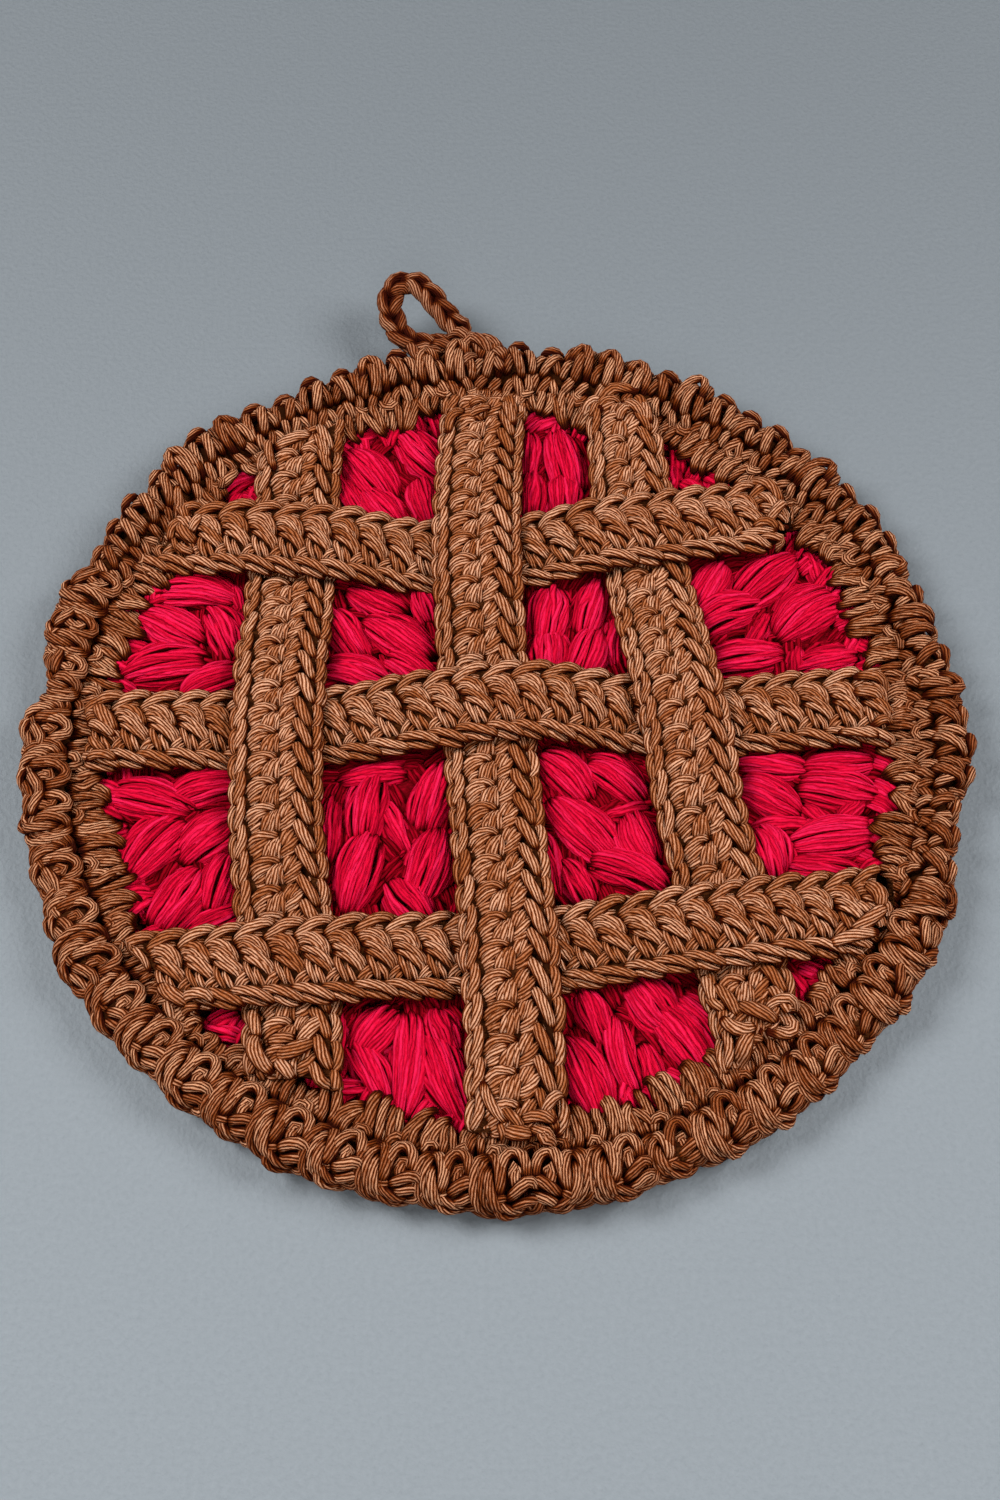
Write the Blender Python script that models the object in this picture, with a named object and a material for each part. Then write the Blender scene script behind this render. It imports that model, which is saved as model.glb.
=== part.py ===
"""Crocheted pot holder: a red puff-stitch disc in a brown crocheted border, with six brown strips
woven over it and a chain-stitch loop to hang it by.

Metres, +Z up. The origin is the disc's centre on the face it rests on, and +Y points to the loop.
"""

import math
from collections import namedtuple

import bmesh
import bpy
import numpy as np
from mathutils import Vector
from mathutils.geometry import delaunay_2d_cdt

# ---------------------------------------------------------------- driving dimensions
GAP = 0.0003
STITCH = 0.0059
CURVE_STEPS = 24
SHARP_ANGLE = math.radians(50.0)
SAME_POINT = 1e-6
INSIDE_TRIANGLES = 1

FILLING_RADIUS = 0.0812
FILLING_EDGE_TOP = 0.0040
FILLING_VALLEY_TOP = 0.0034
PUFF_HEIGHT = 0.0040
PUFF_LENGTH = 0.0160
PUFF_SLANT = math.radians(18.0)
TOP_GRID = 0.0028
PRESSED_MARGIN = 0.0006
CLEAR_OF_LINE = 0.0012
LINE_SKIP = 6
ON_RIM = 0.0004
ON_LINE = 0.0003

BORDER_RADIUS = 0.0990
SHELF_RADIUS = 0.0888
BORDER_UNITS = 55
STEPS_PER_UNIT = 4
KNOB_DEPTH = 0.0011
KNOB_RISE = 0.0010
TOOTH_RISE = 0.0006

STRIP_THICKNESS = 0.0036
UNDER_LEVEL = 0.0069
OVER_LEVEL = 0.0110
END_LEVEL = 0.0091
CROSSING_MARGIN = 0.0010
SETTLE_SHARE = 0.4
POST_RISE = 0.0003
WIDENING_LENGTH = 0.030
END_ROUNDING = 0.98
ROUTE_STEP = 0.0010

LOOP_RADIUS = 0.0020
LOOP_SIDES = 8
LOOP_STITCH_SWELL = 0.07

# ---------------------------------------------------------------- tables
# A round of puff stitches: the radius at its middle, how many puffs, how wide each is.
PuffRound = namedtuple("PuffRound", "radius count width")
PUFF_ROUNDS = (
    PuffRound(0.0090, 6, 0.0080),
    PuffRound(0.0250, 14, 0.0085),
    PuffRound(0.0410, 22, 0.0088),
    PuffRound(0.0570, 30, 0.0090),
    PuffRound(0.0730, 38, 0.0090),
)

# A corner of the border's cross-section: radius, height, how far it follows the knobs outwards
# and upwards, and how far it follows the inner teeth upwards.
BorderCorner = namedtuple("BorderCorner", "radius height knob_out knob_up tooth_up")
BORDER_SECTION = (
    BorderCorner(0.0815, 0.0000, 0.0, 0.0, 0.0),
    BorderCorner(0.0815, 0.0052, 0.0, 0.0, -0.4),
    BorderCorner(0.0836, 0.0064, 0.0, 0.0, 0.6),
    BorderCorner(0.0888, 0.0066, 0.0, 0.1, 0.2),
    BorderCorner(0.0914, 0.0094, -0.3, 0.8, 0.0),
    BorderCorner(0.0950, 0.0100, 0.3, 1.0, 0.0),
    BorderCorner(0.0981, 0.0080, 0.9, 0.7, 0.0),
    BorderCorner(0.0990, 0.0045, 1.0, 0.0, 0.0),
    BorderCorner(0.0968, 0.0000, 0.8, 0.0, 0.0),
)

# Where the border's rim stands out or falls back: compass angle, half its spread, how far.
RimLump = namedtuple("RimLump", "degrees spread reach")
RIM_LUMPS = (
    RimLump(15.0, 16.0, -0.0022),
    RimLump(74.0, 12.0, 0.0022),
    RimLump(112.0, 7.0, -0.0016),
    RimLump(133.0, 12.0, 0.0030),
    RimLump(161.0, 8.0, 0.0018),
    RimLump(173.0, 5.0, -0.0042),
    RimLump(215.0, 14.0, 0.0014),
    RimLump(347.0, 10.0, -0.0022),
)

# A strip: its centreline's points, its width, its narrower width at the start, how much later its
# braided edge starts and ends than its middle, and how deeply each end is rounded.
# Crosswise strips run to +X and upright strips run to -Y, so the braided edge is on their left.
Strip = namedtuple("Strip", "route width start_width start_skew end_skew start_round end_round")
UPRIGHT_STRIPS = {
    "strip_left": Strip(
        ((-0.0443, 0.0740), (-0.0447, 0.0600), (-0.0455, 0.0305), (-0.0459, -0.0035),
         (-0.0443, -0.0285), (-0.0402, -0.0615), (-0.0392, -0.0750)),
        0.0180, 0.0178, -0.0045, 0.0020, 0.0, 0.0,
    ),
    "strip_middle": Strip(
        ((-0.0030, 0.0840), (-0.0043, 0.0635), (-0.0041, 0.0305), (-0.0008, -0.0115),
         (0.0014, -0.0365), (0.0032, -0.0615), (0.0037, -0.0865)),
        0.0182, 0.0178, 0.0, 0.0, 0.0010, 0.0010,
    ),
    "strip_right": Strip(
        ((0.0282, 0.0840), (0.0288, 0.0715), (0.0342, 0.0305), (0.0387, 0.0055),
         (0.0415, -0.0195), (0.0445, -0.0315), (0.0500, -0.0600), (0.0512, -0.0670)),
        0.0176, 0.0146, 0.0, -0.0060, 0.0050, 0.0,
    ),
}
CROSSWISE_STRIPS = {
    "strip_far": Strip(
        ((-0.0725, 0.0472), (-0.0610, 0.0467), (-0.0450, 0.0457), (-0.0180, 0.0437),
         (-0.0030, 0.0443), (0.0090, 0.0450), (0.0310, 0.0481), (0.0560, 0.0523), (0.0640, 0.0535)),
        0.0173, 0.0170, 0.0045, 0.0, 0.0, 0.0055,
    ),
    "strip_centre": Strip(
        ((-0.0855, -0.0008), (-0.0710, 0.0001), (-0.0450, 0.0014), (-0.0240, 0.0028),
         (-0.0080, 0.0048), (0.0030, 0.0061), (0.0150, 0.0058), (0.0380, 0.0040),
         (0.0510, 0.0043), (0.0720, 0.0050), (0.0820, 0.0052)),
        0.0173, 0.0170, 0.0, -0.0010, 0.0, 0.0010,
    ),
    "strip_near": Strip(
        ((-0.0680, -0.0534), (-0.0610, -0.0530), (-0.0440, -0.0519), (-0.0280, -0.0510),
         (-0.0110, -0.0493), (0.0030, -0.0482), (0.0160, -0.0476), (0.0310, -0.0457),
         (0.0470, -0.0438), (0.0640, -0.0416), (0.0785, -0.0396)),
        0.0173, 0.0160, -0.0055, 0.0030, 0.0, 0.0065,
    ),
}

# A corner of a strip's cross-section: its place across the width (1 is the braided edge), its
# height, and how far it follows the stitches upwards. Upper side first, then the flat underside.
StripCorner = namedtuple("StripCorner", "across height post_up")
STRIP_SECTION = (
    StripCorner(1.00, 0.0014, 0.0),
    StripCorner(0.82, 0.0034, 0.6),
    StripCorner(0.54, 0.0026, -0.5),
    StripCorner(0.05, 0.0030, 1.0),
    StripCorner(-0.50, 0.0025, -0.5),
    StripCorner(-0.80, 0.0034, 0.6),
    StripCorner(-1.00, 0.0014, 0.0),
    StripCorner(-0.88, 0.0000, 0.0),
    StripCorner(0.88, 0.0000, 0.0),
)

# The hanging loop's closed centreline: both strands, and the root that lies along the rim.
LOOP_ROUTE = (
    (-0.0156, 0.1004, 0.0072),
    (-0.0206, 0.1012, 0.0080),
    (-0.0236, 0.1041, 0.0092),
    (-0.0249, 0.1082, 0.0110),
    (-0.0243, 0.1121, 0.0124),
    (-0.0206, 0.1142, 0.0134),
    (-0.0166, 0.1122, 0.0126),
    (-0.0133, 0.1085, 0.0110),
    (-0.0103, 0.1052, 0.0094),
    (-0.0076, 0.1026, 0.0080),
    (-0.0106, 0.1010, 0.0070),
)


# ---------------------------------------------------------------- shapes
def smooth_route(points, step, closed=False):
    """Points a step apart along a smooth curve through the given ones."""
    points = np.array(points, float)
    count = len(points)
    if closed:
        padded = np.vstack([points[-1:], points, points[:2]])
        spans = count
    else:
        padded = np.vstack([2 * points[0] - points[1], points, 2 * points[-1] - points[-2]])
        spans = count - 1
    dense = []
    for i in range(spans):
        a, b, c, d = padded[i : i + 4]
        for t in np.linspace(0.0, 1.0, CURVE_STEPS, endpoint=False):
            dense.append(
                0.5 * (2 * b + (c - a) * t + (2 * a - 5 * b + 4 * c - d) * t**2
                       + (3 * b - 3 * c + d - a) * t**3)
            )
    dense.append(points[0] if closed else points[-1])
    dense = np.array(dense)
    length = np.concatenate([[0.0], np.cumsum(np.linalg.norm(np.diff(dense, axis=0), axis=1))])
    pieces = max(2, round(length[-1] / step))
    marks = np.linspace(0.0, length[-1], pieces + 1)
    even = np.stack([np.interp(marks, length, dense[:, i]) for i in range(dense.shape[1])], axis=1)
    return (even[:-1], marks[:-1]) if closed else (even, marks)


def smoothstep(t):
    t = np.clip(t, 0.0, 1.0)
    return t * t * (3.0 - 2.0 * t)


def material(name, colour, roughness):
    made = bpy.data.materials.new(name)
    made.use_nodes = True
    shader = made.node_tree.nodes["Principled BSDF"]
    shader.inputs["Base Color"].default_value = (*colour, 1.0)
    shader.inputs["Roughness"].default_value = roughness
    shader.inputs["Metallic"].default_value = 0.0
    return made


def add_object(name, vertices, faces, finish):
    mesh = bpy.data.meshes.new(name)
    mesh.from_pydata([tuple(map(float, v)) for v in vertices], [], faces)
    shape = bmesh.new()
    shape.from_mesh(mesh)
    bmesh.ops.recalc_face_normals(shape, faces=shape.faces)
    if shape.calc_volume(signed=True) < 0.0:
        bmesh.ops.reverse_faces(shape, faces=shape.faces)
    shape.to_mesh(mesh)
    shape.free()
    mesh.materials.append(finish)
    mesh.shade_smooth()
    mesh.set_sharp_from_angle(angle=SHARP_ANGLE)
    made = bpy.data.objects.new(name, mesh)
    bpy.context.scene.collection.objects.link(made)
    return made


def lofted_faces(stations, corners, closed):
    """Quads between successive sections, and the two end faces of a loft that isn't closed."""
    faces = []
    for i in range(stations if closed else stations - 1):
        here = i * corners
        there = (i + 1) % stations * corners
        for j in range(corners):
            k = (j + 1) % corners
            faces.append((here + j, here + k, there + k, there + j))
    if not closed:
        faces.append(tuple(range(corners)))
        faces.append(tuple(range((stations - 1) * corners, stations * corners)))
    return faces


# ---------------------------------------------------------------- the strips
def is_over(upright_index, crosswise_index):
    """Whether the crosswise strip passes over the upright one."""
    return (upright_index + crosswise_index) % 2 == 0


def crossing_marks(route, marks, other_route):
    """How far along its own route a strip meets another one."""
    apart = np.linalg.norm(route[:, None] - other_route[None], axis=2)
    return marks[apart.min(axis=1).argmin()]


def level_curve(marks, crossings):
    """The height of a strip's middle along it, flat where it crosses and level at both ends."""
    knots = []
    for mark, level, half in crossings:
        knots += [(mark - half, level), (mark + half, level)]
    lead_in = knots[0][0] * SETTLE_SHARE
    lead_out = (marks[-1] - knots[-1][0]) * SETTLE_SHARE
    knots = [(lead_in, END_LEVEL)] + knots + [(marks[-1] - lead_out, END_LEVEL)]

    def height(s):
        s = np.asarray(s, float)
        z = np.full(s.shape, END_LEVEL)
        for (s0, z0), (s1, z1) in zip(knots, knots[1:]):
            inside = (s >= s0) & (s <= s1)
            z[inside] = (z0 + (z1 - z0) * smoothstep((s - s0) / (s1 - s0)))[inside]
        return z

    return height


def laid_strips():
    """Each strip's name with its plan, its centreline and its height curve."""
    routes = {}
    for strips in (UPRIGHT_STRIPS, CROSSWISE_STRIPS):
        for name, strip in strips.items():
            routes[name] = smooth_route(strip.route, ROUTE_STEP)
    laid = {}
    for own, others, own_is_upright in (
        (UPRIGHT_STRIPS, CROSSWISE_STRIPS, True),
        (CROSSWISE_STRIPS, UPRIGHT_STRIPS, False),
    ):
        for i, (name, strip) in enumerate(own.items()):
            route, marks = routes[name]
            crossings = []
            for j, (other, other_strip) in enumerate(others.items()):
                crosswise_over = is_over(i, j) if own_is_upright else is_over(j, i)
                over = crosswise_over != own_is_upright
                half = other_strip.width / 2 + CROSSING_MARGIN
                mark = crossing_marks(route, marks, routes[other][0])
                crossings.append((mark, OVER_LEVEL if over else UNDER_LEVEL, half))
            laid[name] = (strip, route, marks, level_curve(marks, sorted(crossings)))
    return laid


def half_width(strip, s):
    """Half the strip's width, which grows from its start over its first stretch."""
    grown = smoothstep(np.asarray(s, float) / WIDENING_LENGTH)
    return (strip.start_width + (strip.width - strip.start_width) * grown) / 2


def strip_mesh(strip, route, marks, height):
    length = marks[-1]
    tangent = np.gradient(route, axis=0)
    tangent /= np.linalg.norm(tangent, axis=1)[:, None]
    stations = 2 * round(length / STITCH) + 1
    vertices = []
    for k in range(stations):
        raised = 1.0 if k % 2 else -1.0
        for corner in STRIP_SECTION:
            rounded = 1.0 - math.sqrt(1.0 - (corner.across * END_ROUNDING) ** 2)
            first = strip.start_skew * corner.across + strip.start_round * rounded
            last = length + strip.end_skew * corner.across - strip.end_round * rounded
            s = first + (last - first) * k / (stations - 1)
            centre = [np.interp(s, marks, route[:, i]) for i in (0, 1)]
            along = [np.interp(s, marks, tangent[:, i]) for i in (0, 1)]
            past = s - min(max(s, 0.0), length)
            side = corner.across * float(half_width(strip, s))
            z = float(height([s])[0]) - STRIP_THICKNESS / 2
            vertices.append((
                centre[0] + along[0] * past - along[1] * side,
                centre[1] + along[1] * past + along[0] * side,
                z + corner.height + corner.post_up * raised * POST_RISE,
            ))
    return vertices, lofted_faces(stations, len(STRIP_SECTION), closed=False)


# ---------------------------------------------------------------- the filling
def puff_ovals():
    """Each puff's centre, direction, half length and half width, every other round staggered."""
    found = []
    for index, row in enumerate(PUFF_ROUNDS):
        for i in range(row.count):
            angle = 2 * math.pi * (i + 0.5 * (index % 2)) / row.count
            slant = PUFF_SLANT if (i + index) % 2 else -PUFF_SLANT
            found.append((
                np.array([math.cos(angle), math.sin(angle)]) * row.radius,
                np.array([math.cos(angle + slant), math.sin(angle + slant)]),
                PUFF_LENGTH / 2, row.width / 2,
            ))
    return found


def filling_points():
    """Plan points of the filling's top, on a triangular grid."""
    row_gap = TOP_GRID * math.sqrt(3) / 2
    rows = int(FILLING_RADIUS / row_gap)
    columns = int(FILLING_RADIUS / TOP_GRID) + 1
    return [
        np.array([(i + 0.5 * (j % 2)) * TOP_GRID, j * row_gap])
        for j in range(-rows, rows + 1)
        for i in range(-columns, columns + 1)
    ]


def puff_top(point, ovals):
    """The height of the puffs at a plan point."""
    best = 0.0
    for centre, along, half_length, half_across in ovals:
        offset = point - centre
        u = offset @ along / half_length
        v = (offset[0] * -along[1] + offset[1] * along[0]) / half_across
        best = max(best, 1.0 - u * u - v * v)
    return FILLING_VALLEY_TOP + PUFF_HEIGHT * math.sqrt(best)


def filling_mesh(laid):
    """A flat-bottomed disc whose top has puffs, pressed flat where a strip lies on it."""
    ovals = puff_ovals()
    rim_count = 2 * BORDER_UNITS
    rim = [
        np.array([math.cos(a), math.sin(a)]) * FILLING_RADIUS
        for a in np.arange(rim_count) * 2 * math.pi / rim_count
    ]
    points = list(rim)
    edges = [(i, (i + 1) % rim_count) for i in range(rim_count)]
    tracks = []
    for strip, route, _, _ in laid.values():
        tangent = np.gradient(route, axis=0)
        tangent /= np.linalg.norm(tangent, axis=1)[:, None]
        normal = np.stack([-tangent[:, 1], tangent[:, 0]], axis=1)
        half = strip.width / 2 + PRESSED_MARGIN
        tracks.append((route, half))
        for side in (half, -half):
            line = (route + normal * side)[::LINE_SKIP]
            line = [p for p in line if np.linalg.norm(p) < FILLING_RADIUS - CLEAR_OF_LINE]
            start = len(points)
            points += line
            edges += [(start + i, start + i + 1) for i in range(len(line) - 1)]
    for point in filling_points():
        beside = min(np.linalg.norm(route - point, axis=1).min() - half for route, half in tracks)
        if beside > CLEAR_OF_LINE and np.linalg.norm(point) < FILLING_RADIUS - CLEAR_OF_LINE:
            points.append(point)
    plan, _, triangles, _, _, _ = delaunay_2d_cdt(
        [Vector(p) for p in points], edges, [], INSIDE_TRIANGLES, SAME_POINT
    )
    top = []
    for p in plan:
        point = np.array(p[:])
        z = puff_top(point, ovals)
        if np.linalg.norm(point) > FILLING_RADIUS - ON_RIM:
            z = FILLING_EDGE_TOP
        if any(np.linalg.norm(route - point, axis=1).min() < half + ON_LINE for route, half in tracks):
            z = min(z, UNDER_LEVEL - STRIP_THICKNESS / 2 - GAP)
        top.append((*point, z))
    outline = sorted(
        (i for i, v in enumerate(top) if math.hypot(v[0], v[1]) > FILLING_RADIUS - ON_RIM),
        key=lambda i: math.atan2(top[i][1], top[i][0]),
    )
    below = len(top)
    vertices = top + [(top[i][0], top[i][1], 0.0) for i in outline]
    faces = [tuple(t) for t in triangles]
    count = len(outline)
    for i in range(count):
        j = (i + 1) % count
        faces.append((outline[i], below + i, below + j, outline[j]))
    faces.append(tuple(below + i for i in range(count)))
    return vertices, faces


# ---------------------------------------------------------------- the border
def rim_reach(angle):
    """How far the rim stands out of its mean circle at an angle."""
    reach = 0.0
    for lump in RIM_LUMPS:
        away = (math.degrees(angle) - lump.degrees + 180.0) % 360.0 - 180.0
        if abs(away) < lump.spread:
            reach += lump.reach * (0.5 + 0.5 * math.cos(math.pi * away / lump.spread))
    return reach


def border_mesh():
    stations = BORDER_UNITS * STEPS_PER_UNIT
    vertices = []
    for k in range(stations):
        angle = 2 * math.pi * k / stations
        knob = -math.cos(2 * math.pi * k / STEPS_PER_UNIT)
        tooth = math.cos(math.pi * k)
        for corner in BORDER_SECTION:
            follows = max(0.0, (corner.radius - SHELF_RADIUS) / (BORDER_RADIUS - SHELF_RADIUS))
            radius = corner.radius + follows * rim_reach(angle) + corner.knob_out * knob * KNOB_DEPTH
            z = corner.height + corner.knob_up * knob * KNOB_RISE + corner.tooth_up * tooth * TOOTH_RISE
            vertices.append((radius * math.cos(angle), radius * math.sin(angle), z))
    return vertices, lofted_faces(stations, len(BORDER_SECTION), closed=True)


# ---------------------------------------------------------------- the hanging loop
def loop_mesh():
    route, _ = smooth_route(LOOP_ROUTE, STITCH / 2, closed=True)
    stations = len(route)
    up = np.array([0.0, 0.0, 1.0])
    vertices = []
    for k in range(stations):
        along = route[(k + 1) % stations] - route[k - 1]
        along /= np.linalg.norm(along)
        across = np.cross(along, up)
        across /= np.linalg.norm(across)
        normal = np.cross(across, along)
        radius = LOOP_RADIUS * (1.0 + (LOOP_STITCH_SWELL if k % 2 else -LOOP_STITCH_SWELL))
        for i in range(LOOP_SIDES):
            turn = 2 * math.pi * i / LOOP_SIDES
            vertices.append(route[k] + radius * (math.cos(turn) * across + math.sin(turn) * normal))
    return vertices, lofted_faces(stations, LOOP_SIDES, closed=True)


# ---------------------------------------------------------------- the whole
def main():
    for old in list(bpy.data.objects):
        bpy.data.objects.remove(old, do_unlink=True)
    red_yarn = material("red_yarn", (0.72, 0.006, 0.055), 0.62)
    brown_yarn = material("brown_yarn", (0.27, 0.105, 0.045), 0.55)
    laid = laid_strips()
    add_object("filling", *filling_mesh(laid), red_yarn)
    add_object("border", *border_mesh(), brown_yarn)
    for name, (strip, route, marks, height) in laid.items():
        add_object(name, *strip_mesh(strip, route, marks, height), brown_yarn)
    add_object("hanging_loop", *loop_mesh(), brown_yarn)


main()
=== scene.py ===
"""Looks of the crocheted pot holder: its red puffs, brown border, woven strips and hanging loop.

Every yarn that shows is a lobe: a short, flattened length of yarn that comes up out of the work, lies
over its neighbours and dives back in. Each part has a small chart of the lobes in one stitch, in
millimetres, and repeats it along its own course. A thin web under the lobes closes the gaps; its
dark colour is painted shade. The yarns' colours hold painted shade in their grooves and hollows and
painted highlights on their crests.
"""

import logging
import math
from dataclasses import dataclass, replace
from enum import Enum

import bmesh
import bpy
import numpy as np
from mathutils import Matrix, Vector
from mathutils.bvhtree import BVHTree


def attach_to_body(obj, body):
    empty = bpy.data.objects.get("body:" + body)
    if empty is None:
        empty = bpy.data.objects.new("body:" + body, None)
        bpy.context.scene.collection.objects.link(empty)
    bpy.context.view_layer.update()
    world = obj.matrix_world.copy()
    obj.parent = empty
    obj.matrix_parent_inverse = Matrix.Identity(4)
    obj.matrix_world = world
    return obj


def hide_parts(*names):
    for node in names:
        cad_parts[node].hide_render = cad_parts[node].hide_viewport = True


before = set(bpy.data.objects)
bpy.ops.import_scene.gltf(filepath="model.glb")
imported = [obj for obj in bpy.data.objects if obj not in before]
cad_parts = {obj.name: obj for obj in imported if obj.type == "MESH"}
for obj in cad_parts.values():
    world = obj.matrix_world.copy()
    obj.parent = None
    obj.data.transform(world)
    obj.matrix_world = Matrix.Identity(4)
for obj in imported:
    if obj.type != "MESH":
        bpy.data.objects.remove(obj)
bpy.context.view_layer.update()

log = logging.getLogger("pot_holder")

MM = 0.001
UP, DOWN = (0.0, 0.0, 1.0), (0.0, 0.0, -1.0)
# How many points a smooth curve gets from one given point to the next, before it is spaced evenly.
CURVE_STEPS = 8
BODY = "root"
YARN_MAP = "Yarn"
LOBE_MAP = "Lobe"
BAKE_MAP = "OFBake"


# ---------------------------------------------------------------- curves
def smooth_line(points: np.ndarray, count: int) -> np.ndarray:
    """Evenly spaced points along a smooth curve through the given ones.

    Args:
        points: The points that the curve passes through, one row each.
        count: How many points to return.

    Returns:
        The points, one row each.
    """
    points = np.asarray(points, float)
    padded = np.vstack([2 * points[0] - points[1], points, 2 * points[-1] - points[-2]])
    t = np.linspace(0.0, 1.0, CURVE_STEPS, endpoint=False)[:, None]
    parts = [
        0.5 * (2 * b + (c - a) * t + (2 * a - 5 * b + 4 * c - d) * t**2
               + (3 * b - 3 * c + d - a) * t**3)
        for a, b, c, d in zip(padded, padded[1:], padded[2:], padded[3:])
    ]
    dense = np.vstack(parts + [points[-1:]])
    length = lengths_along(dense)
    return looked_up(length, np.linspace(0.0, length[-1], count), dense)


def lengths_along(line: np.ndarray) -> np.ndarray:
    """How far along a line each of its points lies."""
    return np.concatenate([[0.0], np.cumsum(np.linalg.norm(np.diff(line, axis=0), axis=1))])


def rough_length(points: np.ndarray) -> float:
    """The length of the straight lines from point to point."""
    return np.linalg.norm(np.diff(points, axis=0), axis=1).sum()


def unit(vectors: np.ndarray) -> np.ndarray:
    """The vectors, one row each, scaled to a length of one."""
    return vectors / np.maximum(np.linalg.norm(vectors, axis=-1, keepdims=True), 1e-12)


def toward(angle: float) -> np.ndarray:
    """The direction in plan at an angle, in radians."""
    return np.array([math.cos(angle), math.sin(angle)])


def left_of(ahead: np.ndarray) -> np.ndarray:
    """The direction in plan to the left of one direction, or of each row of them."""
    return np.stack([-ahead[..., 1], ahead[..., 0]], axis=-1)


def facing(direction: tuple, line: np.ndarray) -> np.ndarray:
    """The same direction for each point of a line."""
    return np.tile(direction, (len(line), 1))


def looked_up(marks: np.ndarray, where: np.ndarray, values: np.ndarray) -> np.ndarray:
    """Rows of values between those known at the marks, one row for each place."""
    return np.stack([np.interp(where, marks, column) for column in values.T], axis=1)


def smoothstep(t: np.ndarray) -> np.ndarray:
    """A smooth rise from 0 to 1 as t goes from 0 to 1."""
    t = np.clip(t, 0.0, 1.0)
    return t * t * (3.0 - 2.0 * t)


def rising(value: np.ndarray, start: float, width: float) -> np.ndarray:
    """A smooth rise from 0 to 1 as a value goes from the start over the width."""
    return smoothstep((value - start) / width)


# ---------------------------------------------------------------- yarn meshes
@dataclass(frozen=True)
class Lobe:
    """One length of yarn in a stitch's chart, in millimetres.

    The points are (along, across, height) in the course's own directions.
    """

    points: tuple
    width: float
    thickness: float


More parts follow.
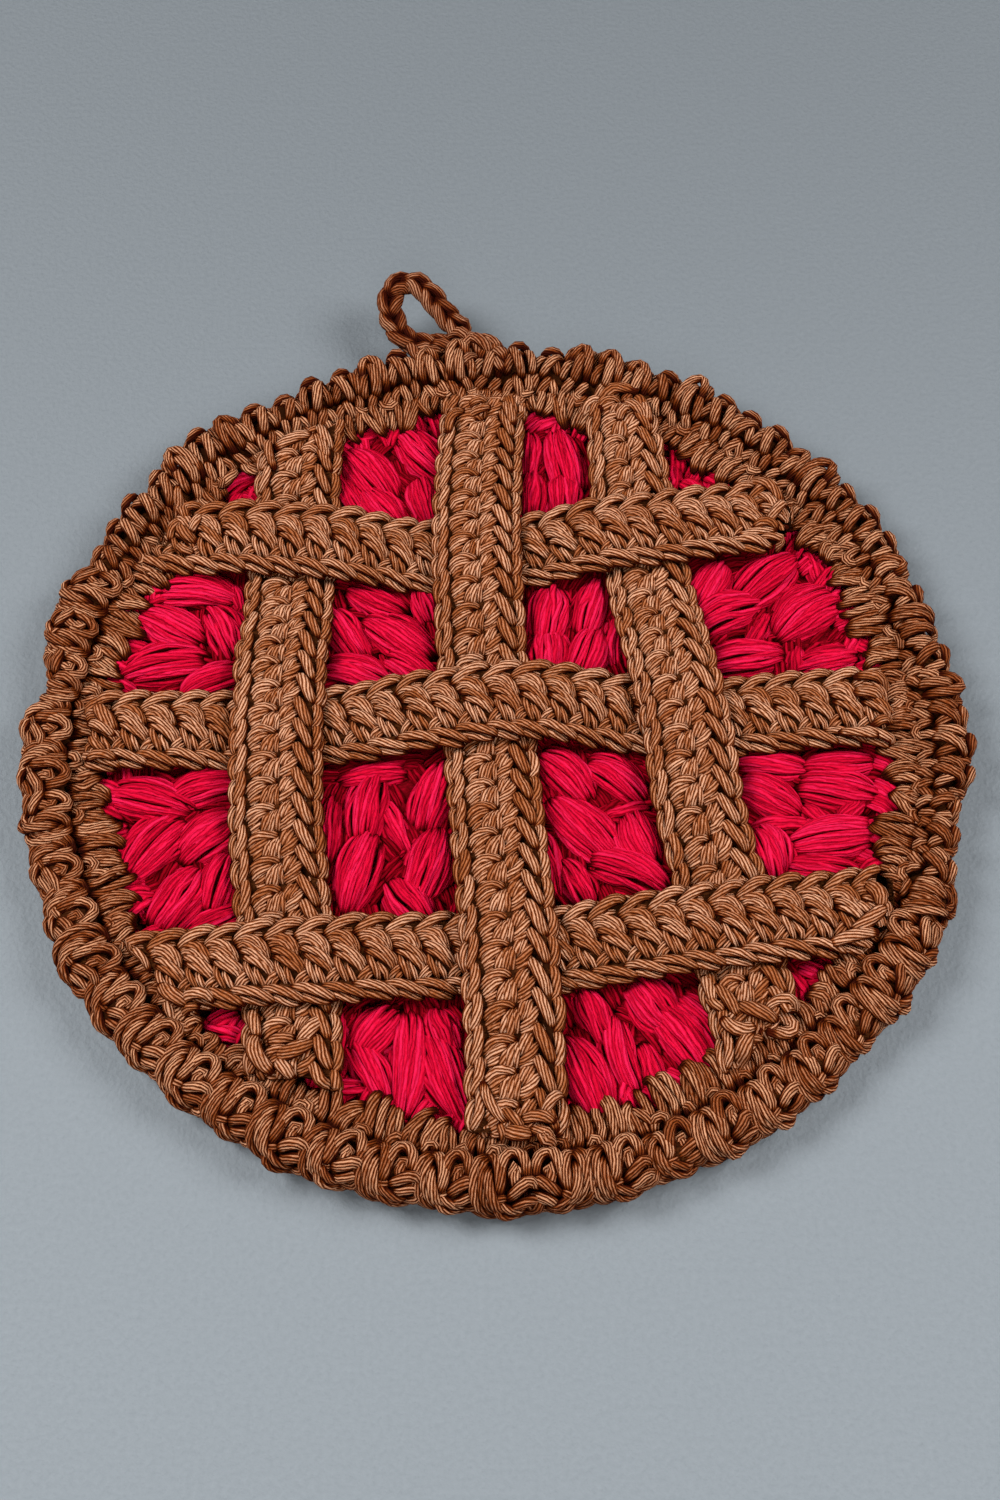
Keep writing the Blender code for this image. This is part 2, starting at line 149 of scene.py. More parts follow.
class YarnMesh:
    """Gathers lobes of yarn into one mesh, with maps along the yarn, over each lobe and for baking.

    SEED_STEP keeps the lobes apart on the yarn map, so that each one can have its own pattern.
    """

    SIDES = 8
    STATION = 1.15 * MM
    FEWEST = 5
    MOST = 13
    FEWEST_PLIES = 3
    SEED_STEP = 24
    SWELL_POWER = 0.6
    SHELF_SLACK = 1.03
    ISLAND_SHARE = 0.985

    def __init__(self, name: str, ply: float = 0.64 * MM) -> None:
        """Starts an empty mesh.

        Args:
            name: The name of the piece.
            ply: How much of a lobe's girth one ply takes, in metres.
        """
        self.name = name
        self.ply = ply
        self.rings: list[np.ndarray] = []
        self.lengths: list[np.ndarray] = []
        self.girths: list[float] = []

    def stations_for(self, length: float) -> int:
        """How many cross-sections a lobe of that length gets."""
        return int(np.clip(round(length / self.STATION) + 1, self.FEWEST, self.MOST))

    def add(self, line: np.ndarray, ups: np.ndarray, width: float, thickness: float,
            ends: tuple = (0.55, 0.55)) -> None:
        """Adds one lobe.

        Args:
            line: The middle of the yarn, one point a row, in metres.
            ups: The direction away from the work at each point.
            width: The yarn's greatest width, in metres.
            thickness: Its greatest thickness, in metres.
            ends: How wide its first and last sections are, as shares of the greatest.
        """
        along = unit(np.gradient(line, axis=0))
        side = unit(np.cross(along, ups))
        over = np.cross(side, along)
        place = np.linspace(0.0, 1.0, len(line))
        end = ends[0] + (ends[1] - ends[0]) * place
        swell = (end + (1.0 - end) * np.sin(math.pi * place) ** self.SWELL_POWER)[:, None, None]
        turn = (np.arange(self.SIDES) * 2 * math.pi / self.SIDES - math.pi / 2)[None, :, None]
        ring = (line[:, None] + swell * (np.cos(turn) * side[:, None] * width / 2
                                         + np.sin(turn) * over[:, None] * thickness / 2))
        self.rings.append(ring)
        self.lengths.append(lengths_along(line))
        self.girths.append(math.pi * (width + thickness) / 2)

    def shelved(self) -> tuple[list[tuple[float, float]], float]:
        """Lays the lobes' rectangles out on shelves for baking.

        Returns:
            Each rectangle's corner, and the size of the square that holds them all.
        """
        order = sorted(range(len(self.rings)), key=lambda i: -self.girths[i])
        area = sum(length[-1] * girth for length, girth in zip(self.lengths, self.girths))
        wide = math.sqrt(area) * self.SHELF_SLACK
        places = [(0.0, 0.0)] * len(self.rings)
        x, y, shelf = 0.0, 0.0, self.girths[order[0]]
        for i in order:
            if x + self.lengths[i][-1] > wide:
                x, y, shelf = 0.0, y + shelf, self.girths[i]
            places[i] = (x, y)
            x += self.lengths[i][-1]
        return places, max(wide, y + shelf)

    def build(self, finish: bpy.types.Material) -> bpy.types.Object:
        """Makes the mesh, its maps and its object.

        Args:
            finish: The material of the whole piece.

        Returns:
            The new object, linked into the scene.
        """
        sides = self.SIDES
        around = np.arange(sides)
        places, map_size = self.shelved()
        points, loops, totals = [], [], []
        maps = {YARN_MAP: [], LOBE_MAP: [], BAKE_MAP: []}
        first = 0
        for k, (ring, length, girth) in enumerate(zip(self.rings, self.lengths, self.girths)):
            count = len(ring)
            points.append(ring.reshape(-1, 3))
            i, j = np.meshgrid(np.arange(count - 1), around, indexing="ij")
            after = (j + 1) % sides
            quads = np.stack([i * sides + j, i * sides + after, (i + 1) * sides + after,
                              (i + 1) * sides + j], axis=-1).reshape(-1, 4) + first
            caps = np.stack([around[::-1], (count - 1) * sides + around]) + first
            loops += [quads.ravel(), caps.ravel()]
            totals += [np.full(len(quads), 4), np.full(2, sides)]
            cap_rows = np.repeat([0, count - 1], sides)
            row = np.concatenate([np.stack([i, i, i + 1, i + 1], axis=-1).ravel(), cap_rows])
            turn = np.concatenate([np.stack([j, j + 1, j + 1, j], axis=-1).ravel(),
                                   around[::-1], around]) / sides
            plies = max(self.FEWEST_PLIES, round(girth / self.ply))
            u = length[row]
            maps[YARN_MAP].append(np.stack([u / MM, turn * plies + self.SEED_STEP * k], axis=1))
            maps[LOBE_MAP].append(np.stack([u / length[-1], turn], axis=1))
            flat = np.stack([u, turn * girth], axis=1) * self.ISLAND_SHARE
            maps[BAKE_MAP].append((np.array(places[k]) + flat) / map_size)
            first += count * sides
        return self._object(np.vstack(points), np.concatenate(loops), np.concatenate(totals),
                            {name: np.vstack(parts) for name, parts in maps.items()}, finish)

    def _object(self, points: np.ndarray, loops: np.ndarray, totals: np.ndarray, maps: dict,
                finish: bpy.types.Material) -> bpy.types.Object:
        """The object whose mesh has these points, faces and maps."""
        mesh = bpy.data.meshes.new(self.name)
        mesh.vertices.add(len(points))
        mesh.vertices.foreach_set("co", points.astype(np.float32).ravel())
        mesh.loops.add(len(loops))
        mesh.loops.foreach_set("vertex_index", loops.astype(np.int32))
        mesh.polygons.add(len(totals))
        starts = np.concatenate([[0], np.cumsum(totals)[:-1]])
        mesh.polygons.foreach_set("loop_start", starts.astype(np.int32))
        for name, values in maps.items():
            layer = mesh.uv_layers.new(name=name)
            layer.uv.foreach_set("vector", values.astype(np.float32).ravel())
        mesh.update(calc_edges=True)
        mesh.validate()
        mesh.shade_smooth()
        mesh.materials.append(finish)
        made = bpy.data.objects.new(self.name, mesh)
        bpy.context.scene.collection.objects.link(made)
        return made


# ---------------------------------------------------------------- shader groups
class NodeKit:
    """Short ways to add nodes to one node tree."""

    def __init__(self, tree: bpy.types.NodeTree) -> None:
        """Works on that tree."""
        self.tree = tree

    def node(self, kind: str, **settings: object) -> bpy.types.Node:
        """Adds a node and sets its properties."""
        made = self.tree.nodes.new(kind)
        for key, value in settings.items():
            setattr(made, key, value)
        return made

    def feed(self, socket: bpy.types.NodeSocket, value: object) -> None:
        """Links a socket, or sets it if the value is a number or a colour."""
        if isinstance(value, bpy.types.NodeSocket):
            self.tree.links.new(value, socket)
        else:
            socket.default_value = value

    def math(self, operation: str, *values: object) -> bpy.types.NodeSocket:
        """A Math node's result."""
        made = self.node("ShaderNodeMath", operation=operation)
        for socket, value in zip(made.inputs, values):
            self.feed(socket, value)
        return made.outputs[0]

    def remap(self, value: object, low: float, high: float, to_low: float = 0.0,
              to_high: float = 1.0) -> bpy.types.NodeSocket:
        """A value taken smoothly from one range to another."""
        made = self.node("ShaderNodeMapRange", interpolation_type="SMOOTHSTEP")
        for socket, each in zip(made.inputs, (value, low, high, to_low, to_high)):
            self.feed(socket, each)
        return made.outputs[0]

    def mix(self, factor: object, first: object, second: object) -> bpy.types.NodeSocket:
        """A mix of two colours."""
        made = self.node("ShaderNodeMix", data_type="RGBA")
        self.feed(made.inputs["Factor"], factor)
        self.feed(made.inputs[6], first)
        self.feed(made.inputs[7], second)
        return made.outputs[2]

    def join(self, x: object, y: object, z: object = 0.0) -> bpy.types.NodeSocket:
        """A vector from three values."""
        made = self.node("ShaderNodeCombineXYZ")
        for socket, value in zip(made.inputs, (x, y, z)):
            self.feed(socket, value)
        return made.outputs[0]

    def noise(self, vector: object, scale: float, detail: float = 2.0) -> bpy.types.NodeSocket:
        """A Noise Texture's value."""
        made = self.node("ShaderNodeTexNoise")
        self.feed(made.inputs["Vector"], vector)
        made.inputs["Scale"].default_value = scale
        made.inputs["Detail"].default_value = detail
        return made.outputs[0]

    def map_parts(self, name: str) -> tuple:
        """The two parts of a mesh's map of that name."""
        split = self.node("ShaderNodeSeparateXYZ")
        self.feed(split.inputs[0], self.node("ShaderNodeUVMap", uv_map=name).outputs[0])
        return split.outputs[0], split.outputs[1]

    def random(self, vector: object) -> bpy.types.NodeSocket:
        """A random value that stays the same for the same vector."""
        made = self.node("ShaderNodeTexWhiteNoise", noise_dimensions="3D")
        self.feed(made.inputs["Vector"], vector)
        return made.outputs[0]

    def bump(self, shader: bpy.types.Node, height: object, distance: float) -> None:
        """Gives a shader the relief of a height, in metres where the height is one."""
        made = self.node("ShaderNodeBump")
        made.inputs["Strength"].default_value = 1.0
        made.inputs["Distance"].default_value = distance
        self.feed(made.inputs["Height"], height)
        self.feed(shader.inputs["Normal"], made.outputs[0])


def new_group(name: str, inputs: dict, outputs: tuple) -> tuple:
    """An empty shader group.

    Args:
        name: The group's name.
        inputs: Each input's name with its usual value.
        outputs: The outputs' names.

    Returns:
        The group, its node kit, its input node and its output node.
    """
    group = bpy.data.node_groups.new(name, "ShaderNodeTree")
    for title, value in inputs.items():
        socket = group.interface.new_socket(title, in_out="INPUT", socket_type="NodeSocketFloat")
        socket.default_value = value
    for title in outputs:
        group.interface.new_socket(title, in_out="OUTPUT", socket_type="NodeSocketFloat")
    kit = NodeKit(group)
    return group, kit, kit.node("NodeGroupInput"), kit.node("NodeGroupOutput")


# How fast the plies of a yarn wander: along it, round it and from lobe to lobe.
WANDER_PACE = (0.3, 0.55, 7.3)


def spun_plies_group() -> bpy.types.NodeTree:
    """The plies that lie side by side in a yarn: their crests, each ply's tone and each lobe's tone."""
    group, kit, given, result = new_group(
        "Spun plies", {"Along": 0.0, "Around": 0.0, "Twist": 0.2, "Wander": 0.8},
        ("Crest", "Ply Tone", "Lobe Tone"),
    )
    along, around = given.outputs["Along"], given.outputs["Around"]
    seed = kit.math("FLOOR", kit.math("DIVIDE", around, float(YarnMesh.SEED_STEP)))
    spot = kit.join(*(kit.math("MULTIPLY", value, pace)
                      for value, pace in zip((along, around, seed), WANDER_PACE)))
    bent = kit.math("MULTIPLY", kit.math("SUBTRACT", kit.noise(spot, 1.0), 0.5), given.outputs["Wander"])
    twisted = kit.math("ADD", around, kit.math("MULTIPLY", along, given.outputs["Twist"]))
    phase = kit.math("ADD", twisted, bent)
    wave = kit.math("ABSOLUTE", kit.math("SINE", kit.math("MULTIPLY", phase, math.pi)))
    kit.feed(result.inputs["Crest"], wave)
    kit.feed(result.inputs["Ply Tone"], kit.random(kit.join(kit.math("FLOOR", phase), 1.3)))
    kit.feed(result.inputs["Lobe Tone"], kit.random(kit.join(seed, 3.7)))
    return group


def fine_fibres_group() -> bpy.types.NodeTree:
    """The fine fibres that run along a yarn, as streaks."""
    group, kit, given, result = new_group(
        "Fine fibres", {"Along": 0.0, "Around": 0.0, "Fineness": 7.0}, ("Streak",)
    )
    place = kit.join(kit.math("MULTIPLY", given.outputs["Along"], 0.9),
                     kit.math("MULTIPLY", given.outputs["Around"], given.outputs["Fineness"]))
    kit.feed(result.inputs["Streak"], kit.noise(place, 1.0, 3.0))
    return group


def lobe_shade_group() -> bpy.types.NodeTree:
    """How deep a spot of a lobe lies, as the mask of the yarn's painted shade: 1 on its back, 0 on
    its flanks and where its ends dive.
    """
    group, kit, given, result = new_group(
        "Lobe shade mask", {"Share": 0.5, "Turn": 0.5, "Flank": 0.30, "Dive": 0.20}, ("Openness",)
    )
    flank = kit.math("ABSOLUTE", kit.math("SUBTRACT", given.outputs["Turn"], 0.5))
    back = kit.remap(flank, 0.08, given.outputs["Flank"], 1.0, 0.0)
    end = kit.math("SUBTRACT", 0.5, kit.math("ABSOLUTE", kit.math("SUBTRACT", given.outputs["Share"], 0.5)))
    shown = kit.remap(end, 0.0, given.outputs["Dive"], 0.0, 1.0)
    kit.feed(result.inputs["Openness"], kit.math("MULTIPLY", back, shown))
    return group


# ---------------------------------------------------------------- finishes
@dataclass(frozen=True)
class YarnFinish:
    """The colour, plies and gloss of one kind of yarn, with light and shade painted into the colour.

    Its tone runs from 0 in the grooves and hollows to 1 on the plies' open crests. The body colour is
    the yarn's own, kept saturated to stand in for light bounced between yarns in the shade. The darker
    colour is painted shade in the grooves between plies and in the hollows on a lobe's flanks and where
    its ends dive, and the lighter one is a painted highlight on the plies' crests. The two mixes say
    between which tones the painted shade turns into the body's colour, and the body's into the painted
    highlight.
    """

    name: str
    crest_highlight: tuple
    body: tuple
    groove_shade: tuple
    twist: float
    wander: float
    roughness: float
    specular: float
    relief: float
    hollow_shade: float
    ply_depth: float
    ply_spread: float = 0.34
    dive: float = 0.20
    groove_roughness: float = 0.25
    fibre_relief: float = 0.25
    fibre_tones: tuple = (0.72, 1.1)
    lobe_tones: tuple = (0.80, 1.10)
    body_mix: tuple = (0.10, 0.66)
    crest_mix: tuple = (0.52, 1.0)

    def material(self, groups: dict) -> bpy.types.Material:
        """The yarn's material, whose pattern follows the map along the yarn and paints shade into the
        grooves and hollows and highlights onto the crests.

        Args:
            groups: The shader groups by name.

        Returns:
            The material.
        """
        made = bpy.data.materials.new(self.name)
        made.use_nodes = True
        kit = NodeKit(made.node_tree)
        shader = made.node_tree.nodes["Principled BSDF"]
        along, around = kit.map_parts(YARN_MAP)
        share, turn = kit.map_parts(LOBE_MAP)
        plies = kit.node("ShaderNodeGroup", node_tree=groups["plies"])
        fibres = kit.node("ShaderNodeGroup", node_tree=groups["fibres"])
        depth = kit.node("ShaderNodeGroup", node_tree=groups["depth"])
        for group in (plies, fibres):
            kit.feed(group.inputs["Along"], along)
            kit.feed(group.inputs["Around"], around)
        kit.feed(depth.inputs["Share"], share)
        kit.feed(depth.inputs["Turn"], turn)
        plies.inputs["Twist"].default_value = self.twist
        plies.inputs["Wander"].default_value = self.wander
        depth.inputs["Dive"].default_value = self.dive
        crest_highlight = kit.math("ADD", kit.math("MULTIPLY", plies.outputs["Crest"], self.ply_depth),
                         1.0 - self.ply_depth)
        each_ply = kit.remap(plies.outputs["Ply Tone"], 0.0, 1.0, 1.0 - self.ply_spread, 1.0)
        each_fibre = kit.remap(fibres.outputs["Streak"], 0.3, 0.7, *self.fibre_tones)
        each_lobe = kit.remap(plies.outputs["Lobe Tone"], 0.0, 1.0, *self.lobe_tones)
        # Painted shade: the tone falls towards hollow_shade on a lobe's flanks and where its ends dive.
        painted_hollow_shade = kit.remap(depth.outputs["Openness"], 0.0, 1.0, self.hollow_shade, 1.0)
        tone = crest_highlight
        for share in (each_ply, each_fibre, each_lobe, painted_hollow_shade):
            tone = kit.math("MULTIPLY", tone, share)
        # The colour runs from painted shade in the grooves through the yarn's own body colour to a painted
        # highlight on the crests.
        low = kit.mix(kit.remap(tone, *self.body_mix), (*self.groove_shade, 1.0), (*self.body, 1.0))
        colour = kit.mix(kit.remap(tone, *self.crest_mix), low, (*self.crest_highlight, 1.0))
        kit.feed(shader.inputs["Base Color"], colour)
        kit.feed(shader.inputs["Roughness"], kit.remap(plies.outputs["Crest"], 0.0, 1.0,
                                                       self.roughness + self.groove_roughness,
                                                       self.roughness))
        relief = kit.math("ADD", plies.outputs["Crest"],
                          kit.math("MULTIPLY", fibres.outputs["Streak"], self.fibre_relief))
        kit.bump(shader, relief, self.relief)
        shader.inputs["Specular IOR Level"].default_value = self.specular
        return made


@dataclass(frozen=True)
class WebFinish:
    """The inner yarn that shows in the gaps between lobes, its colour darkened as painted shade."""

    name: str
    light: tuple
    dark: tuple
    grain: float
    patches: float = 260.0
    roughness: tuple = (0.78, 0.92)
    specular: float = 0.03

    def material(self, groups: dict) -> bpy.types.Material:
        """The web's material, whose grain follows the piece itself.

        Args:
            groups: The shader groups by name.

        Returns:
            The material.
        """
        made = bpy.data.materials.new(self.name)
        made.use_nodes = True
        kit = NodeKit(made.node_tree)
        shader = made.node_tree.nodes["Principled BSDF"]
        place = kit.node("ShaderNodeTexCoord").outputs["Object"]
        split = kit.node("ShaderNodeSeparateXYZ")
        kit.feed(split.inputs[0], place)
        fibres = kit.node("ShaderNodeGroup", node_tree=groups["fibres"])
        kit.feed(fibres.inputs["Along"], kit.math("MULTIPLY", split.outputs[0], 1.0 / MM))
        kit.feed(fibres.inputs["Around"], split.outputs[1])
        fibres.inputs["Fineness"].default_value = 1.0 / self.grain
        patch = kit.noise(place, self.patches, 3.0)
        tone = kit.math("MULTIPLY", kit.remap(fibres.outputs["Streak"], 0.35, 0.65),
                        kit.remap(patch, 0.3, 0.7))
        kit.feed(shader.inputs["Base Color"], kit.mix(tone, (*self.dark, 1.0), (*self.light, 1.0)))
        kit.feed(shader.inputs["Roughness"], kit.remap(patch, 0.2, 0.8, *self.roughness))
        kit.bump(shader, kit.math("ADD", fibres.outputs["Streak"], patch), self.grain)
        shader.inputs["Specular IOR Level"].default_value = self.specular
        return made


# The groove and crest colours of each yarn are painted shade and painted highlight round its own body
# colour.
STRIP_YARN = YarnFinish(
    name="strip_yarn_finish", crest_highlight=(0.63, 0.336, 0.206), body=(0.285, 0.073, 0.015),
    groove_shade=(0.055, 0.0050, 0.0002), twist=0.42, wander=1.0, roughness=0.60, specular=0.04,
    relief=0.00024, hollow_shade=0.05, ply_depth=0.86, ply_spread=0.16,
)
BORDER_YARN = YarnFinish(
    name="border_yarn_finish", crest_highlight=(0.58, 0.288, 0.158), body=(0.200, 0.041, 0.0056),
    groove_shade=(0.034, 0.0030, 0.0001), twist=0.42, wander=1.0, roughness=0.55, specular=0.04,
    relief=0.00024, hollow_shade=0.03, ply_depth=0.90, ply_spread=0.16, dive=0.28,
)
# The border's yarn with darker crest and body colours: painted shade for the dimmer light at the far side,
# where the loop lies.
SHADED_LOOP_YARN = replace(BORDER_YARN, name="shaded_loop_yarn_finish", crest_highlight=(0.41, 0.195, 0.108),
                    body=(0.178, 0.037, 0.0060))
RED_YARN = YarnFinish(
    name="red_yarn_finish", crest_highlight=(0.65, 0.0110, 0.068), body=(0.56, 0.0020, 0.025),
    groove_shade=(0.050, 0.0001, 0.0003), twist=0.10, wander=1.4, roughness=0.75, specular=0.02,
    relief=0.0002, hollow_shade=0.12, ply_depth=0.40,
)
# The red yarn darkened all over: painted shade for the strands that lie low between the puffs.
SHADED_RED_YARN = YarnFinish(
    name="shaded_red_yarn_finish", crest_highlight=(0.42, 0.0012, 0.018), body=(0.22, 0.0004, 0.006),
    groove_shade=(0.035, 0.0001, 0.0006), twist=0.10, wander=1.4, roughness=0.8, specular=0.02,
    relief=0.0002, hollow_shade=0.25, ply_depth=0.6,
)
# The webs' colours are the yarns' colours darkened: painted shade in the gaps between lobes.
BROWN_WEB = WebFinish("brown_web_finish", light=(0.078, 0.021, 0.0048), dark=(0.020, 0.0045, 0.0007),
                      grain=0.0004)
RED_WEB = WebFinish("red_web_finish", light=(0.28, 0.0008, 0.010), dark=(0.10, 0.0002, 0.002),
                    grain=0.0005)


# ---------------------------------------------------------------- the frame's own shapes
class Lookup:
    """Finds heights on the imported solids."""

    FAR = 0.1

    def __init__(self, *nodes: str) -> None:
        """Reads those nodes' meshes."""
        points, faces = [], []
        for node in nodes:
            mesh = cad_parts[node].data
            first = len(points)
            points += [tuple(v.co) for v in mesh.vertices]
            faces += [tuple(first + i for i in p.vertices) for p in mesh.polygons]
        self.tree = BVHTree.FromPolygons(points, faces)

    def top(self, x: float, y: float) -> float | None:
        """The height of the highest surface over a plan point, or None beside the solids."""
        hit = self.tree.ray_cast(Vector((x, y, self.FAR)), Vector(DOWN))[0]
        return None if hit is None else hit.z

    def underside(self, x: float, y: float) -> float | None:
        """The height of the lowest surface over a plan point, or None beside the solids."""
        hit = self.tree.ray_cast(Vector((x, y, -self.FAR)), Vector(UP))[0]
        return None if hit is None else hit.z


# A limit that no web reaches: distance from the disc's centre, height.
NO_CEILING = ((0.0, 100.0),)


def web_from(node: str, name: str, inset: float, finish: bpy.types.Material,
             ceiling: tuple = NO_CEILING) -> bpy.types.Object:
    """A closed thin body inside a node's surface, which the lobes lie on.

    Args:
        node: The node whose form it has.
        name: The new piece's name.
        inset: How far inside the node's surface it lies, in metres.
        finish: Its material.
        ceiling: Distances from the disc's centre, each with the height that it doesn't pass there,
            in millimetres.

    Returns:
        The new object.
    """
    radii, heights = zip(*ceiling)
    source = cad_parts[node].data
    shape = bmesh.new()
    shape.from_mesh(source)
    bmesh.ops.remove_doubles(shape, verts=shape.verts, dist=1e-6)
    bmesh.ops.recalc_face_normals(shape, faces=shape.faces)
    if shape.calc_volume(signed=True) < 0.0:
        bmesh.ops.reverse_faces(shape, faces=shape.faces)
    shape.normal_update()
    moves = [v.normal * inset for v in shape.verts]
    for vertex, move in zip(shape.verts, moves):
        vertex.co -= move
        limit = np.interp(math.hypot(vertex.co.x, vertex.co.y) / MM, radii, heights) * MM
        vertex.co.z = min(vertex.co.z, limit)
    mesh = bpy.data.meshes.new(name)
    shape.to_mesh(mesh)
    shape.free()
    mesh.shade_smooth()
    mesh.materials.clear()
    mesh.materials.append(finish)
    made = bpy.data.objects.new(name, mesh)
    bpy.context.scene.collection.objects.link(made)
    return made


# ---------------------------------------------------------------- the strips
# The chart of one stitch on the face of a strip, as on the three strips that run across.
# Along runs to the right, across runs from the rope at the near edge to the braid at the far edge.
FACE_STITCH = (
    Lobe(((-2.5, 8.3, -1.0), (0.2, 8.8, -0.4), (3.0, 8.3, -1.0)), 2.0, 1.8),
    Lobe(((-0.5, 3.9, -0.4), (1.5, 4.9, 0.5), (3.4, 5.7, 0.4), (5.0, 6.2, -0.5)), 1.9, 1.6),
    Lobe(((0.8, 1.1, 0.2), (2.4, 0.1, 1.0), (4.2, -1.1, 1.1), (5.8, -2.4, 0.4), (6.5, -3.3, -0.6)),
         1.9, 1.6),
    Lobe(((1.2, 0.4, -0.1), (1.6, -1.4, 0.7), (2.4, -3.3, 0.8), (3.6, -5.3, -0.6)), 1.8, 1.6),
    Lobe(((2.8, -1.0, -0.2), (3.4, -2.5, 0.5), (4.2, -4.0, 0.6), (5.0, -5.4, -0.6)), 1.7, 1.5),
    Lobe(((-0.9, -5.4, -0.5), (0.2, -3.9, 0.4), (1.3, -2.6, 0.3), (2.2, -1.6, -0.6)), 1.7, 1.5),
    Lobe(((0.3, -5.6, -0.6), (1.2, -4.3, 0.3), (2.2, -3.2, -0.3)), 1.6, 1.4),
    Lobe(((0.2, 2.5, 0.2), (2.0, 1.8, 1.2), (4.2, 0.5, 1.3), (6.2, -1.2, 0.6), (7.0, -2.2, -0.5)), 2.0, 1.7),
    Lobe(((-0.6, 3.2, -0.2), (1.2, 3.7, 0.8), (3.2, 2.9, 1.2), (4.9, 1.3, 0.7), (5.8, -0.2, -0.4)),
         2.0, 1.7),
    Lobe(((-1.0, 4.4, -0.4), (1.0, 5.0, 0.7), (3.4, 4.4, 1.2), (5.0, 2.9, 0.9), (6.1, 0.6, -0.4)), 2.0, 1.7),
    Lobe(((-1.4, -7.3, -0.7), (1.2, -8.0, 0.0), (4.0, -8.7, -0.4), (6.0, -8.7, -1.2)), 2.1, 1.8),
    Lobe(((-2.0, -5.9, -0.3), (0.6, -6.2, 0.9), (3.4, -7.2, 1.1), (5.8, -8.1, 0.5), (7.2, -8.4, -0.5)),
         2.4, 1.9),
    Lobe(((-1.2, 4.8, -0.4), (1.0, 6.1, 0.9), (3.0, 7.3, 1.3), (5.4, 8.2, 0.8), (7.2, 8.2, -0.5)), 2.8, 2.1),
)
# The same on the back of a strip, as on the three upright strips. Along runs to the viewer, and
# across runs from the rope at the left edge to the braid at the right edge.
BACK_STITCH = (
    Lobe(((-0.6, -6.5, -1.0), (1.2, -6.0, -0.4), (3.2, -5.4, -1.0)), 2.2, 1.8),
    Lobe(((2.2, -6.7, -1.0), (4.0, -6.2, -0.4), (5.8, -5.6, -1.0)), 2.2, 1.8),
    Lobe(((0.2, 6.4, -0.9), (2.2, 7.0, -0.3), (4.2, 7.7, -0.9)), 2.2, 1.8),
    Lobe(((3.0, 5.2, -0.9), (4.8, 5.9, -0.3), (6.6, 6.7, -0.9)), 2.2, 1.8),
    Lobe(((-1.6, -7.7, -0.8), (0.4, -8.5, 0.1), (3.0, -8.7, 0.2), (5.6, -7.9, -0.7)), 2.0, 1.8),
    Lobe(((-3.4, -7.1, -0.5), (-1.2, -6.8, 0.8), (1.2, -6.9, 1.0), (3.6, -7.7, 0.5), (4.8, -8.2, -0.4)),
         2.0, 1.8),
    Lobe(((5.6, -4.8, -0.7), (5.2, -3.8, 0.3), (4.8, -2.6, 0.1)), 1.5, 1.3),
    Lobe(((4.9, -5.1, -0.6), (4.2, -4.0, 0.5), (3.4, -2.9, 0.6), (2.6, -2.2, 0.1)), 1.6, 1.4),
    Lobe(((4.0, -5.5, -0.5), (2.9, -4.3, 0.7), (1.8, -2.9, 1.1), (0.8, -1.4, 0.7)), 1.8, 1.5),
    Lobe(((3.0, -6.0, -0.5), (1.6, -5.1, 0.6), (0.5, -3.6, 1.2), (0.0, -1.6, 1.1), (0.1, 0.5, -0.2)),
         1.9, 1.6),
    Lobe(((0.9, -0.9, -0.1), (2.4, -1.6, 0.8), (4.4, -2.2, 0.9), (6.0, -2.5, -0.3)), 1.7, 1.5),
    Lobe(((0.7, -0.2, 0.0), (2.6, -0.7, 1.0), (4.4, -0.9, 1.0), (6.1, -1.2, -0.3)), 1.7, 1.5),
    Lobe(((0.4, 0.7, -0.1), (2.4, 0.3, 0.9), (4.2, 0.3, 0.8), (5.4, 0.5, -0.4)), 1.6, 1.4),
    Lobe(((-1.3, 2.5, -0.2), (0.4, 1.9, 0.8), (1.8, 1.4, 0.8), (3.2, 1.0, -0.3)), 1.7, 1.5),
    Lobe(((-1.3, 3.5, -0.2), (0.6, 3.0, 0.9), (2.2, 2.4, 0.9), (3.7, 1.9, -0.3)), 1.7, 1.5),
    Lobe(((5.3, 1.0, -0.3), (4.7, 2.3, 0.7), (3.8, 3.4, 0.8), (2.6, 4.3, 0.1)), 1.6, 1.4),
    Lobe(((4.6, 0.4, -0.2), (4.0, 1.8, 0.9), (2.9, 3.1, 1.1), (1.4, 4.1, 0.9), (0.6, 4.6, -0.2)), 1.8, 1.5),
    Lobe(((-1.0, 8.8, -1.4), (2.0, 9.1, -1.1), (5.0, 8.8, -1.4)), 1.8, 1.6),
    Lobe(((-1.8, 7.7, -0.7), (0.2, 8.6, 0.2), (2.4, 8.8, 0.3), (4.2, 8.3, 0.0), (5.4, 7.3, -0.4)), 2.1, 1.8),
    Lobe(((-3.2, 3.6, -0.5), (-1.8, 4.4, 0.8), (0.4, 5.4, 1.4), (2.8, 6.6, 1.2), (4.6, 7.6, -0.1)),
         2.35, 1.9),
)


